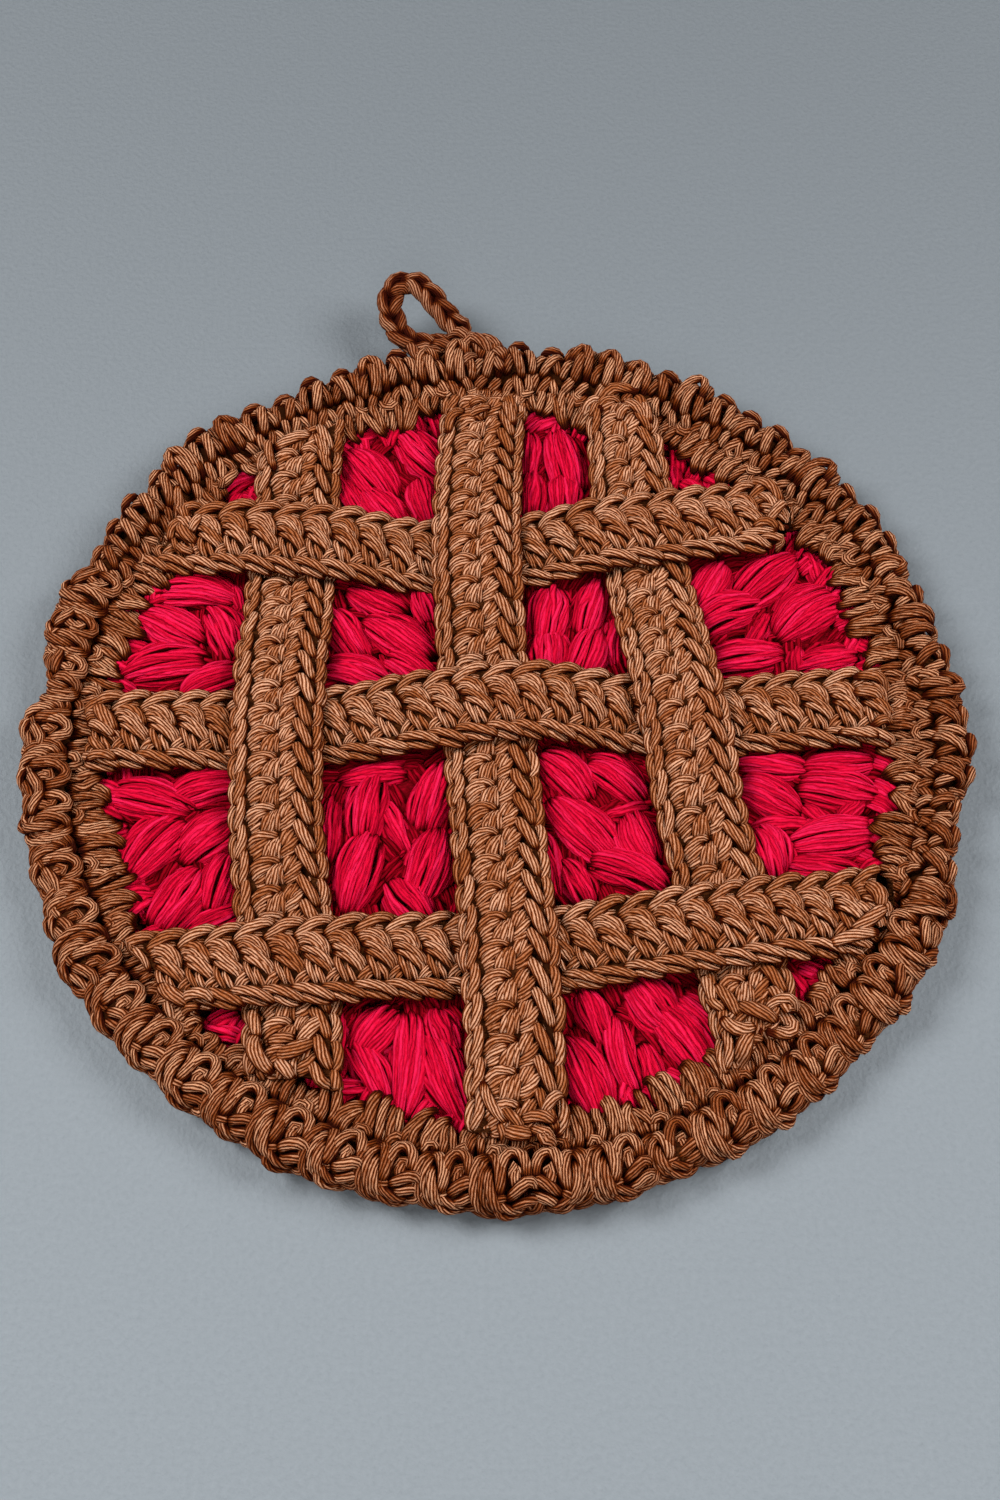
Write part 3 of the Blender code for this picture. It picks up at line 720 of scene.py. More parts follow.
# The ties that fasten each strip's ends and the loop's root to the border: where the middle of the
# tie lies (x, y), its heading in degrees, its length, how far it bows to its left, its width and how
# high its middle stands over the solids.
TIES = {
    "strip_left": (
        (-47, -64, -72, 6.5, 0, 2.6, 1.2), (-46, -71, -60, 8.5, -1.4, 3.4, 1.5),
        (-36, -65.5, -122, 8, 0, 3.2, 1.4), (-38.5, -70, 27, 7.5, -1, 3.4, 2.0),
        (-41.5, -67.5, 12, 5, 0, 2.6, 1.1), (-40.5, -73.5, -43, 4.5, 0, 2.8, 1.2),
        (-46, 72, 26, 9, 0.3, 3.0, 1.5), (-51.2, 68.5, -77, 8.5, -0.7, 2.2, 1.1),
        (-39.3, 70.5, -64, 8, 0.4, 2.6, 1.2), (-42, 69.8, 0, 4, 0.9, 2.4, 1.0),
    ),
    "strip_middle": (
        (-1, -80.5, -58, 9.5, -1, 2.4, 1.0), (3, -83, -44, 5.5, 0, 2.2, 1.5),
        (8, -82.8, 0, 6.5, 0.9, 2.6, 1.6), (8.5, -85.5, -14, 4.5, 0, 2.2, 0.9),
        (4, -86, 0, 5, -0.5, 3.4, 1.3), (10, -86.5, -31, 3.5, 0.5, 3.0, 1.0),
        (7.5, -87.5, -63, 4, 0, 2.2, 0.9), (1.3, -85.8, -65, 4, 0, 2.0, 0.8),
        (10.3, -80, -126, 5.5, -0.4, 2.4, 1.3), (-2, 84.5, 27, 11.5, 0.6, 2.6, 1.3),
        (-10.3, 77.8, 65, 8, 1.3, 2.4, 1.2), (2.8, 79.5, -73, 7, 0, 2.8, 1.3),
        (5, 83.5, -78, 9, 0, 2.4, 1.0), (-4, 80, 28, 5.5, 0, 2.2, 0.9),
    ),
    "strip_right": (
        (41.6, -57, -75, 6.5, 0, 2.6, 1.2), (45, -59.5, -56, 8, 0, 2.8, 1.6),
        (42.4, -60.4, -47, 4.5, -0.6, 2.2, 0.7), (50.5, -62.5, -23, 8, -0.5, 3.2, 2.4),
        (55.2, -59.7, 12, 7.5, 2, 2.4, 1.3), (57.8, -64.5, -103, 5.2, 5, 3.2, 1.6),
        (46.5, -65.8, -10, 6.5, -1.8, 3.2, 1.7), (47.5, -69.5, -105, 8, -0.6, 3.6, 1.3),
        (54, -65.8, 17, 6, -1.5, 2.6, 1.2), (21.3, 84.2, 56, 9, 2.2, 2.6, 1.2),
        (26, 86.6, 33, 10.5, 3.6, 3.2, 1.7), (32, 80.5, -43, 7.5, 1.2, 2.8, 1.3),
        (28.4, 79.9, 54, 4.5, 0.8, 2.6, 1.1), (33.9, 80, -73, 7, 0.4, 2.2, 0.8),
    ),
    "strip_far": (
        (-70.2, 55, -70, 10, -0.7, 2.8, 1.4), (-66.3, 50, -110, 5, 0, 2.4, 1.2),
        (-71.3, 48.6, 74, 6, 0.6, 2.2, 0.9), (-68.4, 46.8, -44, 5.5, -0.7, 2.8, 1.3),
        (-68.5, 43, -24, 4, -0.9, 2.4, 1.0), (60, 59.6, -39, 11.5, 1.8, 2.6, 1.3),
        (60.5, 55.8, -49, 6.5, 0.7, 2.4, 1.1), (61.8, 53, -126, 8, 0, 2.4, 1.4),
        (59.2, 50, 2, 5.5, 1, 2.6, 1.4), (57.1, 47.9, 12, 9, 0.4, 2.2, 0.6),
        (64.9, 53.5, -101, 9, 0.5, 2.4, 0.8),
    ),
    "strip_near": (
        (76, -37.5, -60, 5.5, 0.9, 3.4, 1.3), (74, -43.2, -143, 9, 0.4, 3.0, 1.6),
        (70.3, -46.8, 17, 10.5, 0.4, 2.8, 1.4), (78, -43, -110, 8, 0.4, 2.4, 1.0),
        (73.3, -40.5, -35, 4, 0, 2.2, 0.7), (-63.2, -58.8, -33, 7, -0.7, 3.2, 1.2),
        (-63.9, -60.8, -63, 5.5, 0, 2.4, 1.0), (-58, -58.8, 0, 6.5, 1.2, 2.6, 1.4),
        (-60, -61, 17, 4.5, 0.3, 2.4, 1.3), (-61.4, -64.6, 6, 4, -1.1, 3.0, 1.1),
    ),
    "strip_centre": (
        (-81, 6.4, 21, 6, 0, 2.8, 1.3), (-81.8, 2, -53, 8, 0, 3.4, 1.3),
        (-82.2, -0.5, -26, 6.5, 0.3, 2.4, 1.0), (-81.6, -7, 3, 6, 0.6, 2.4, 1.1),
        (-83.1, -4.3, -43, 5, -0.4, 2.2, 0.9), (80.5, 10.9, -18, 10, 0.9, 2.8, 1.4),
        (79.5, 7.5, -8, 9.5, 0, 3.4, 1.3), (82.5, 2.8, 35, 10.5, 0, 2.6, 1.7),
        (75.4, -2, -4, 8.5, -0.2, 2.2, 1.1), (84.6, 6.5, 51, 7.5, -0.6, 2.4, 1.0),
    ),
    "hanging_loop": (
        (-6, 101, 0, 5, 5.5, 3.0, 1.4), (-6.6, 94.8, 50, 6, 0.3, 2.4, 0.8),
        (-2.4, 100.4, -13, 8.5, 1.8, 3.2, 1.6), (-8, 101.5, -28, 8, 0.8, 3.2, 2.0),
        (-4, 99.6, -36, 8.5, 0.8, 3.2, 2.4), (0, 96.8, -42, 8, 0.8, 3.2, 1.8),
        (1.6, 96.4, -68, 6, 0.6, 2.8, 0.9), (-0.2, 93.6, -52, 5.5, -0.3, 2.8, 1.2),
        (-15, 98.2, -3, 5, -0.8, 2.8, 1.2), (-19, 96.8, -61, 7, 0, 2.8, 1.2),
        (-12, 99.6, -20, 7, 0.6, 2.8, 1.2),
    ),
}
# How a tie is drawn: its stations, how deep its ends sink and how thick it is for its width.
TIE_STATIONS = 5
TIE_SINK = 0.1
TIE_THICKNESS = (0.8, 0.45)


def add_ties(yarn: YarnMesh, node: str, ground: Lookup) -> None:
    """Adds the ties that fasten a node's ends, draped over the solids.

    Args:
        yarn: The mesh that the ties go into.
        node: The node whose ties they are.
        ground: The solids that they lie on.
    """
    stations = np.linspace(-0.5, 0.5, TIE_STATIONS)
    arch = 1.0 - (2 * stations) ** 2
    least, growth = TIE_THICKNESS
    for x, y, heading, length, bow, width, lift in TIES[node]:
        ahead = toward(math.radians(heading))
        bowed = np.outer(bow * (arch - 1.0), left_of(ahead))
        flat = np.array([x, y]) + np.outer(stations * length, ahead) + bowed
        known = [ground.top(a * MM, b * MM) for a, b in flat]
        usual = np.mean([z for z in known if z is not None])
        height = np.array([usual if z is None else z for z in known]) / MM + lift * arch - TIE_SINK
        points = np.column_stack([flat, height])
        line = smooth_line(points, yarn.stations_for(rough_length(points) * MM))
        yarn.add(line * MM, facing(UP, line), width * MM, (least + growth * width) * MM)


class Side(Enum):
    """Which side of the crochet faces up on a strip."""

    FACE = "face"
    BACK = "back"


@dataclass
class Strip:
    """One crochet strip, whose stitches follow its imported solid.

    CORNER rounds its ends off, END_DROP is how steeply yarn dives past an end and OVERHANG how far
    past it a lobe's middle may lie. DRIFT says how far a whole stitch strays along, across and up,
    STRAY how far each point of a lobe does, and WIDTHS between which shares the widths vary.
    """

    COURSE_POINTS = 400
    CORNER = 0.98
    END_DROP = 0.55
    OVERHANG = 0.6
    DRIFT = (1.0, 0.7, 0.4)
    STRAY = 0.55
    WIDTHS = (0.9, 1.08)

    node: str
    side: Side
    route: tuple
    width: float
    start_width: float
    start_skew: float = 0.0
    end_skew: float = 0.0
    start_round: float = 0.0
    end_round: float = 0.0
    seed: int = 1
    first_stitch: float = 5.9
    last_stitch: float = 5.9
    stitch: float = 5.9
    top_over_middle: float = 1.35
    half_chart: float = 9.0
    web_inset: float = 1.1
    widening: float = 30.0
    unevenness: float = 0.17
    relief: float = 1.3
    slimness: float = 1.0

    def __post_init__(self) -> None:
        """Reads the strip's course and levels off its solid."""
        dense = smooth_line(np.array(self.route), self.COURSE_POINTS)
        self.marks = lengths_along(dense)
        self.plan = dense
        self.tangent = unit(np.gradient(dense, axis=0))
        self.length = float(self.marks[-1])
        solid = Lookup(self.node)
        tops = [solid.top(x * MM, y * MM) for x, y in dense]
        known = [i for i, z in enumerate(tops) if z is not None]
        level = np.interp(np.arange(len(tops)), known, [tops[i] / MM for i in known])
        level -= self.top_over_middle
        window = max(3, round(self.stitch / (self.length / len(dense))) | 1)
        padded = np.pad(level, window // 2, mode="edge")
        self.level = np.convolve(padded, np.ones(window) / window, mode="valid")
        self.slope = np.gradient(self.level, self.marks)

    def limits(self, across: np.ndarray) -> tuple[np.ndarray, np.ndarray]:
        """Where the strip starts and ends along its course, at a place across it."""
        share = np.clip(across / self.half_chart, -1.0, 1.0)
        rounded = 1.0 - np.sqrt(1.0 - (share * self.CORNER) ** 2)
        return (self.start_skew * share + self.start_round * rounded,
                self.length + self.end_skew * share - self.end_round * rounded)

    def half_width(self, along: np.ndarray) -> np.ndarray:
        """Half the strip's width at a place along it."""
        grown = smoothstep(along / self.widening)
        return (self.start_width + (self.width - self.start_width) * grown) / 2

    def place(self, chart: np.ndarray) -> tuple[np.ndarray, np.ndarray]:
        """Lays chart points on the strip.

        Args:
            chart: Points (along, across, height) in millimetres.

        Returns:
            The points in metres, and the direction away from the strip at each.
        """
        along, across, height = chart.T
        start, end = self.limits(across)
        past = np.maximum(start - along, 0.0) + np.maximum(along - end, 0.0)
        held = np.clip(along, start, end)
        beyond = held - np.clip(held, 0.0, self.length)
        centre = looked_up(self.marks, held, self.plan)
        ahead = looked_up(self.marks, held, self.tangent)
        rise = np.interp(held, self.marks, self.slope)
        reach = across / self.half_chart * self.half_width(held)
        flat = centre + ahead * (beyond - rise * height)[:, None] + left_of(ahead) * reach[:, None]
        z = np.interp(held, self.marks, self.level) + height - self.END_DROP * past
        ups = unit(np.column_stack([-ahead * rise[:, None], np.ones(len(chart))]))
        return np.column_stack([flat, z]) * MM, ups

    def build(self, brown: bpy.types.Material, web: bpy.types.Material,
              ground: Lookup) -> list[bpy.types.Object]:
        """Makes the strip's yarn and the web under it.

        Args:
            brown: The yarn's material.
            web: The web's material.
            ground: The solids that its fastenings lie on.

        Returns:
            The yarn piece and the web piece.
        """
        chance = np.random.default_rng(self.seed)
        yarn = YarnMesh(self.node + "_yarn")
        chart = FACE_STITCH if self.side is Side.FACE else BACK_STITCH
        count = round(2 * self.length / (self.first_stitch + self.last_stitch))
        k = np.arange(-2, count + 3)
        spots = self.first_stitch * k + (self.last_stitch - self.first_stitch) * k**2 / (2 * count)
        spots *= self.length / spots[count + 2]
        for spot, pitch in zip(spots, np.diff(spots)):
            drift = chance.normal(0.0, self.unevenness, 3) * self.DRIFT
            # A longer stitch has wider yarn, by half of what it is longer.
            stretch = 0.5 + 0.5 * pitch / self.stitch
            for lobe in chart:
                points = np.array(lobe.points, float)
                points[:, 0] = points[:, 0] * pitch / self.stitch + spot
                points[:, 2] *= self.relief
                points += drift
                points += chance.normal(0.0, self.unevenness * self.STRAY, points.shape)
                width = lobe.width * self.slimness * stretch * chance.uniform(*self.WIDTHS)
                self._lay(yarn, points, width, lobe.thickness)
        add_ties(yarn, self.node, ground)
        made = yarn.build(brown)
        under = web_from(self.node, self.node + "_web", self.web_inset * MM, web)
        return [made, under]

    def _lay(self, yarn: YarnMesh, points: np.ndarray, width: float, thickness: float) -> None:
        """Adds one lobe, unless its middle lies past an end of the strip."""
        middle = points[len(points) // 2]
        start, end = self.limits(middle[1:2])
        if not start[0] - self.OVERHANG < middle[0] < end[0] + self.OVERHANG:
            return
        line = smooth_line(points, yarn.stations_for(rough_length(points) * MM))
        placed, ups = self.place(line)
        yarn.add(placed, ups, width * MM, thickness * MM)


STRIPS = (
    Strip("strip_left", Side.BACK,
          ((-44.3, 74.0), (-44.7, 60.0), (-45.5, 30.5), (-45.9, -3.5), (-44.3, -28.5),
           (-40.2, -61.5), (-39.2, -75.0)), 18.0, 17.8, start_skew=-4.5, end_skew=2.0, seed=11,
          first_stitch=5.2, last_stitch=5.7, slimness=1.12),
    Strip("strip_middle", Side.BACK,
          ((-3.0, 84.0), (-4.3, 63.5), (-4.1, 30.5), (-0.8, -11.5), (1.4, -36.5), (3.2, -61.5),
           (3.7, -86.5)), 18.2, 17.8, start_round=1.0, end_skew=1.5, end_round=2.0, seed=12,
          first_stitch=5.3, last_stitch=6.5, slimness=1.12),
    Strip("strip_right", Side.BACK,
          ((28.2, 84.0), (28.8, 71.5), (34.2, 30.5), (38.7, 5.5), (41.5, -19.5), (44.5, -31.5),
           (50.0, -60.0), (51.2, -67.0)), 17.6, 14.6, end_skew=-6.0, start_round=5.0, seed=13,
          first_stitch=5.4, last_stitch=6.2, slimness=1.12),
    Strip("strip_far", Side.FACE,
          ((-72.5, 47.2), (-61.0, 46.7), (-45.0, 45.7), (-18.0, 43.7), (-3.0, 44.3), (9.0, 45.0),
           (31.0, 48.1), (56.0, 52.3), (64.0, 53.5)), 17.3, 17.0, start_skew=4.5, end_round=5.5, seed=14,
          slimness=0.9),
    Strip("strip_centre", Side.FACE,
          ((-85.5, -0.8), (-71.0, 0.1), (-45.0, 1.4), (-24.0, 2.8), (-8.0, 4.8), (3.0, 6.1),
           (15.0, 5.8), (38.0, 4.0), (51.0, 4.3), (72.0, 5.0), (82.0, 5.2)),
          17.3, 17.0, end_skew=-1.0, end_round=1.0, seed=15, slimness=0.9),
    Strip("strip_near", Side.FACE,
          ((-68.0, -53.4), (-61.0, -53.0), (-44.0, -51.9), (-28.0, -51.0), (-11.0, -49.3),
           (3.0, -48.2), (16.0, -47.6), (31.0, -45.7), (47.0, -43.8), (64.0, -41.6), (78.5, -39.6)),
          17.3, 16.0, start_skew=-5.5, end_skew=3.0, end_round=6.5, seed=16, slimness=0.9),
)


# ---------------------------------------------------------------- the filling
# The puffs that show in each square of the lattice, in millimetres from the disc's centre:
# x, y, heading in degrees, length, width.
PUFFS = (
    # far row
    (-58.5, 59.5, 70, 6, 4), (-54.5, 62, 85, 9, 4), (-58, 64, 40, 10, 5.5),
    (-29, 67, -50, 17, 10), (-26, 58, -50, 13, 9), (-33, 61, -60, 12, 6), (-16.5, 72.5, -50, 15, 9.5),
    (-16, 59.5, -75, 13, 7.5), (-31, 77.5, 20, 8, 4.5), (-19, 80.5, -60, 7, 5), (-23.5, 77.5, 70, 6, 4),
    (13, 80.8, 10, 8.5, 4.5), (7.7, 72.5, 90, 13, 5), (15.4, 70.5, -78, 18, 8.5), (8, 61.5, 88, 13, 7),
    (15.2, 61.5, 90, 10, 8),
    (39.2, 65.5, 80, 9, 4.5), (44.7, 63, -30, 7, 5), (50.2, 64.5, -35, 7, 4.5),
    # second row
    (-65.5, 35.5, -8, 18, 8.5), (-71, 27.5, -25, 16, 9.5), (-72, 17.5, 15, 18, 10),
    (-59.5, 26, -60, 13, 9), (-61.5, 13, 28, 14, 8), (-75.5, 36.5, 85, 6, 4.5), (-57, 34.5, -70, 7, 4),
    (-80.5, 30.5, -40, 6, 5), (-82.5, 18.5, -30, 7, 4.5), (-81.5, 23.5, 0, 5, 4), (-81, 12, -15, 8, 5),
    (-26.5, 34, -25, 14, 7), (-21.5, 24.5, -32, 17, 9.5), (-32.5, 25.5, -55, 15, 7.5),
    (-29.5, 15.5, -15, 14, 9), (-18, 16.5, -32, 13, 8), (-15.5, 33, -72, 9, 6),
    (11.2, 30.5, 82, 14, 10), (20.4, 32.5, 75, 14, 7.5), (10.7, 20.5, 90, 11, 9.5),
    (19.7, 20.5, 72, 13, 9), (26, 23.5, 88, 13, 4.5),
    (46.7, 37.5, 62, 14, 8.5), (59.7, 39.5, 42, 17, 10), (50.7, 30.5, 25, 16, 9.5), (67.7, 30, 38, 17, 11),
    (53.7, 19.5, 10, 17, 8.5), (71.2, 19, 15, 13, 8), (74.2, 39.5, 60, 8, 5), (75.7, 32, 20, 6, 4),
    (77.2, 23, 60, 7, 5), (78, 15.5, -10, 6, 4), (69.7, 42.5, -70, 8, 4.5), (56.7, 26.5, 60, 10, 4),
    (65, 18.5, 85, 6, 4.5),
    # third row
    (-72.3, -14.5, -12, 18, 9), (-61.3, -12, 20, 15, 8), (-70.8, -25, 52, 16, 10.5),
    (-59.3, -22.5, 42, 14, 10), (-64.8, -36, 60, 15, 9.5), (-56.8, -32.5, 75, 13, 7),
    (-57.3, -41, 25, 12, 6), (-84.3, -14, -20, 7, 5), (-81.8, -21, -40, 7, 4.5),
    (-80.3, -27, -35, 10, 5), (-73.8, -35.5, 20, 8, 5), (-77.5, -9, -80, 6, 4),
    (-26, -8.5, 10, 14, 5.5), (-26.3, -15.5, 80, 15, 8.5), (-28.3, -30.5, 75, 18, 9),
    (-13.3, -13.5, 75, 16, 8), (-14.3, -28.5, 76, 17, 9.5), (-20.8, -20.5, -62, 13, 4.5),
    (-17.3, -37, -50, 12, 8.5), (-34.3, -20.5, 88, 15, 5),
    (14.2, -8.5, -45, 14, 8.5), (24.7, -9.5, -35, 14, 8.5), (26.7, -16.5, 15, 9, 4),
    (17.7, -20, -45, 18, 10), (29.7, -23, -65, 12, 9.5), (27.2, -30.5, -25, 17, 8.5),
    (16.2, -32.5, -60, 11, 6.5), (11.2, -28.5, -75, 15, 4.5),
    (57.7, -6, -3, 15, 6.5), (71.7, -5.5, 5, 15, 7), (71.2, -11.5, -8, 16, 8.5), (56.7, -13.5, -25, 14, 9),
    (55.7, -26, -68, 12, 9), (68.7, -22.5, 10, 18, 9.5), (66.7, -29.5, -8, 15, 7),
    (66.2, -17.5, -40, 7, 4.5), (73.2, -17, 45, 8, 4.5), (79, -20.5, -20, 6, 4.5), (77, -29.5, 30, 7, 5),
    (58.7, -20, 5, 13, 4.5),
    # near row
    (-53, -64.5, -20, 8, 5),
    (-31.3, -67, 86, 14, 5), (-23.8, -64.5, 55, 11, 9), (-17.8, -71.5, 88, 21, 8.5),
    (-24.3, -72.5, -60, 13, 7.5), (-9.8, -73.5, -65, 19, 9.5), (-10.3, -63.5, -68, 9, 6.5),
    (-29.8, -75.5, 10, 8, 5), (-20.3, -82.5, 20, 6, 5), (-11.3, -83.5, 35, 8, 5), (-25.3, -80, -15, 8, 4.5),
    (19.2, -60.5, -65, 12, 6.5), (31.2, -58.5, -50, 12, 9.5), (36.7, -65.5, -50, 18, 10),
    (40.7, -61, -45, 12, 6), (17.2, -73.5, -65, 18, 9), (25.2, -68.5, -76, 16, 6.5),
    (29.7, -72.5, -75, 12, 5), (34.7, -76.5, -12, 10, 4.5), (24.7, -77, 80, 6, 4),
    (59.7, -54, -60, 6, 4.5), (63.7, -53.5, -10, 5, 4),
)


@dataclass(frozen=True)
class Strand:
    """One kind of short strand: how far along it its points lie, and how high, in millimetres."""

    stations: tuple
    heights: tuple

    def points(self, spot: np.ndarray, ahead: np.ndarray, beside: float = 0.0) -> np.ndarray:
        """Its points where it runs ahead through a spot in plan, or that far to the left of it."""
        flat = spot + np.array(self.stations)[:, None] * ahead + beside * left_of(ahead)
        return np.column_stack([flat, self.heights])


DEEP_STRAND = Strand((-3.8, -1.4, 1.4, 3.8), (-0.9, 0.5, 0.5, -0.9))
RIM_STRAND = Strand((-3.6, -1.2, 1.2, 3.6), (-0.3, 0.2, 0.2, -0.3))
EDGE_STRAND = Strand((-4.2, -1.4, 1.0, 2.6), (3.2, 5.0, 4.8, 3.6))


@dataclass(frozen=True)
class PuffShape:
    """How the strands of one puff run, from a pinched end over its back to the other pinched end.

    Stations, swell and rise go along a strand: where its points lie, how far they spread and how
    high they stand. The swell's first and last shares are the two pinches, drawn for each puff. The
    spreads say how unevenly the strands lie.
    """

    stations: tuple = (-0.5, -0.36, -0.12, 0.12, 0.36, 0.5)
    swell: tuple = (0.85, 1.0, 0.97, 0.66)
    rise: tuple = (0.1, 0.7, 1.0, 0.97, 0.62, 0.05)
    pinch_start: tuple = (0.48, 0.78)
    pinch_end: tuple = (0.18, 0.36)
    full_width: float = 9.0
    crown_power: float = 0.7
    crowding: float = 1.15
    girth: tuple = (0.85, 0.15)
    fewest: int = 3
    sink: float = 0.4
    roundness: float = 0.94
    shorter_sides: float = 0.12
    tilt: float = 0.9
    flatness: float = 1.1
    ends: tuple = (0.6, 0.45)
    bow_spread: float = 0.07
    place_spread: float = 0.05
    sway_spread: float = 0.2
    height_spread: float = 0.08
    shift_spread: float = 0.45
    point_spread: float = 0.12


@dataclass
class Filling:
    """The red disc: puffs of long loose strands over a web darkened as painted shade."""

    # The edge's rounds: height and distance from the centre. The strands worked over them.
    RIM_ROUNDS = ((1.2, 81.6), (2.9, 81.6), (3.1, 84.4))
    RIM_WIDTH = 2.2
    EDGE_RADIUS = 82.4
    EDGE_OFFSETS = (-1.2, 0.0, 1.2)
    DEEP_OFFSETS = (-1.3, 0.0, 1.3)
    # The backs of the stitches: stations as shares of a row, the ends' height, places side by side.
    BACK_STATIONS = (-0.55, -0.3, 0.3, 0.55)
    BACK_END = 1.5
    BACK_OFFSETS = (-1.3, 1.3)
    BACK_SIZE = (2.6, 1.3)
    BACK_REST = 0.12
    BACK_STITCH_LENGTH = 6.2
    BACK_LEAN = 0.45
    FEWEST_IN_ROUND = 5
    # How near a puff a deep strand lies, and how far in from the disc's edge.
    DEEP_REACH, EDGE_MARGIN = 12.0, 1.5
    # How unevenly the short strands lie: in place, in heading and in height.
    DEEP_JITTER, RIM_JITTER, BACK_SPREAD = 0.3, 0.2, 0.15
    DEEP_TURN, EDGE_TURN = 0.35, 0.4
    HEIGHT_SPREAD = 0.2

    puff: PuffShape = PuffShape()
    ply: float = 0.75
    hidden_margin: float = 4.5
    radius: float = 81.2
    valley: float = 3.2
    crown: float = 8.1
    puff_stretch: float = 1.10
    puff_spread: float = 1.12
    strand: float = 1.55
    strand_gap: float = 1.22
    deep_spacing: float = 4.35
    rim_strands: int = 90
    under_strip: float = 0.25
    web_inset: float = 0.9
    web_top: float = 3.3
    back_rounds: int = 11
    seed: int = 21

    def build(self, red: bpy.types.Material, shaded_red: bpy.types.Material,
              web: bpy.types.Material) -> list[bpy.types.Object]:
        """Makes the puffs, the strands deep between them, the back and the web.

        Args:
            red: The yarn's material.
            shaded_red: The material of the strands between the puffs, the red darkened as painted shade.
            web: The web's material.

        Returns:
            The pieces, the puffs first and the web last.
        """
        self.ceiling = Lookup(*(strip.node for strip in STRIPS))
        chance = np.random.default_rng(self.seed)
        puffs = YarnMesh("filling_puffs", ply=self.ply * MM)
        for x, y, heading, length, width in PUFFS:
            self._puff(puffs, chance, x, y, math.radians(heading), length * self.puff_stretch,
                       width * self.puff_spread)
        deep = YarnMesh("filling_deep_strands", ply=self.ply * MM)
        self._deep_strands(deep, chance)
        rim = YarnMesh("filling_rim", ply=self.ply * MM)
        self._rim(rim, chance)
        back = YarnMesh("filling_back")
        self._back(back, chance)
        under = web_from("filling", "filling_web", self.web_inset * MM, web, ((0.0, self.web_top),))
        return [puffs.build(red), deep.build(shaded_red), rim.build(red), back.build(red), under]

    def _lowered(self, line: np.ndarray, thickness: float) -> np.ndarray:
        """The points, pressed down where a strip lies over them."""
        pressed = line.copy()
        for point in pressed:
            above = self.ceiling.underside(point[0] * MM, point[1] * MM)
            if above is not None:
                point[2] = min(point[2], above / MM - self.under_strip - thickness / 2)
        return pressed

    def _hidden(self, x: float, y: float) -> bool:
        """Whether a spot lies well under the strips, where no strand would show."""
        margins = (-self.hidden_margin, self.hidden_margin)
        around = ((x + dx, y + dy) for dx in margins for dy in margins)
        return all(self.ceiling.underside(a * MM, b * MM) is not None for a, b in around)

    def _puff(self, yarn: YarnMesh, chance: np.random.Generator, x: float, y: float,
              heading: float, length: float, width: float) -> None:
        """Adds the strands of one puff, pinched at both ends and swollen in the middle."""
        shape = self.puff
        ahead = toward(heading)
        if chance.random() < 0.5:
            ahead = -ahead
        left = left_of(ahead)
        share = min(1.0, width / shape.full_width)
        crown = self.valley + (self.crown - self.valley) * share**shape.crown_power
        count = max(shape.fewest, round(width * shape.crowding / self.strand_gap))
        bow = chance.normal(0.0, shape.bow_spread) * length
        pinch_start, pinch_end = chance.uniform(*shape.pinch_start), chance.uniform(*shape.pinch_end)
        least, growth = shape.girth
        strand = self.strand * (least + growth * share)
        half = (width - strand) / 2
        stations, rise = np.array(shape.stations), np.array(shape.rise)
        swell = np.array([pinch_start, *shape.swell, pinch_end])
        for j in range(count):
            # The strand's place across the puff, from -1 at its right edge to 1 at its left.
            q = -1.0 + 2.0 * j / (count - 1)
            q = float(np.clip(q + chance.normal(0.0, shape.place_spread), -1.0, 1.0))
            sway = chance.normal(0.0, shape.sway_spread) * np.sin(2 * math.pi * stations)
            across = q * half * swell + bow * (1.0 - (2 * stations) ** 2) * 0.5 + sway
            dome = math.sqrt(max(0.0, 1.0 - (shape.roundness * q) ** 2))
            climb = crown - self.valley - strand * shape.sink
            z = self.valley - shape.sink + climb * rise * dome
            z = z + chance.normal(0.0, shape.height_spread) * rise
            along = stations * length * (1.0 - shape.shorter_sides * q * q)
            along = along + chance.normal(0.0, shape.shift_spread)
            flat = np.array([x, y]) + along[:, None] * ahead + across[:, None] * left
            points = np.column_stack([flat, z])
            points[1:-1] += chance.normal(0.0, shape.point_spread, points[1:-1].shape)
            line = self._lowered(smooth_line(points, yarn.stations_for(length * MM)), strand)
            tilt = shape.tilt * q
            up = (*(left * math.sin(tilt)), math.cos(tilt))
            yarn.add(line * MM, facing(up, line), strand * shape.flatness * MM, strand * MM, shape.ends)

    def _deep_strands(self, yarn: YarnMesh, chance: np.random.Generator) -> None:
        """Adds low strands that show between the puffs, each lying as the nearest puff does."""
        spacing = self.deep_spacing
        puffs = np.array(PUFFS, float)
        cells = int(self.radius / spacing)
        for i in range(-cells, cells + 1):
            for j in range(-cells, cells + 1):
                jitter = chance.uniform(-self.DEEP_JITTER, self.DEEP_JITTER, 2)
                spot = (np.array([i, j]) + jitter) * spacing
                away = np.linalg.norm(puffs[:, :2] - spot, axis=1)
                outside = math.hypot(*spot) > self.radius - self.EDGE_MARGIN
                if outside or away.min() > self.DEEP_REACH or self._hidden(*spot):
                    continue
                turn = chance.normal(0.0, self.DEEP_TURN)
                ahead = toward(math.radians(puffs[away.argmin(), 2]) + turn)
                for offset in self.DEEP_OFFSETS:
                    points = DEEP_STRAND.points(spot, ahead, offset)
                    lift = chance.normal(0.0, self.HEIGHT_SPREAD)
                    points[:, 2] = self.valley + points[:, 2] + lift
                    self._lay(yarn, points, self.strand)

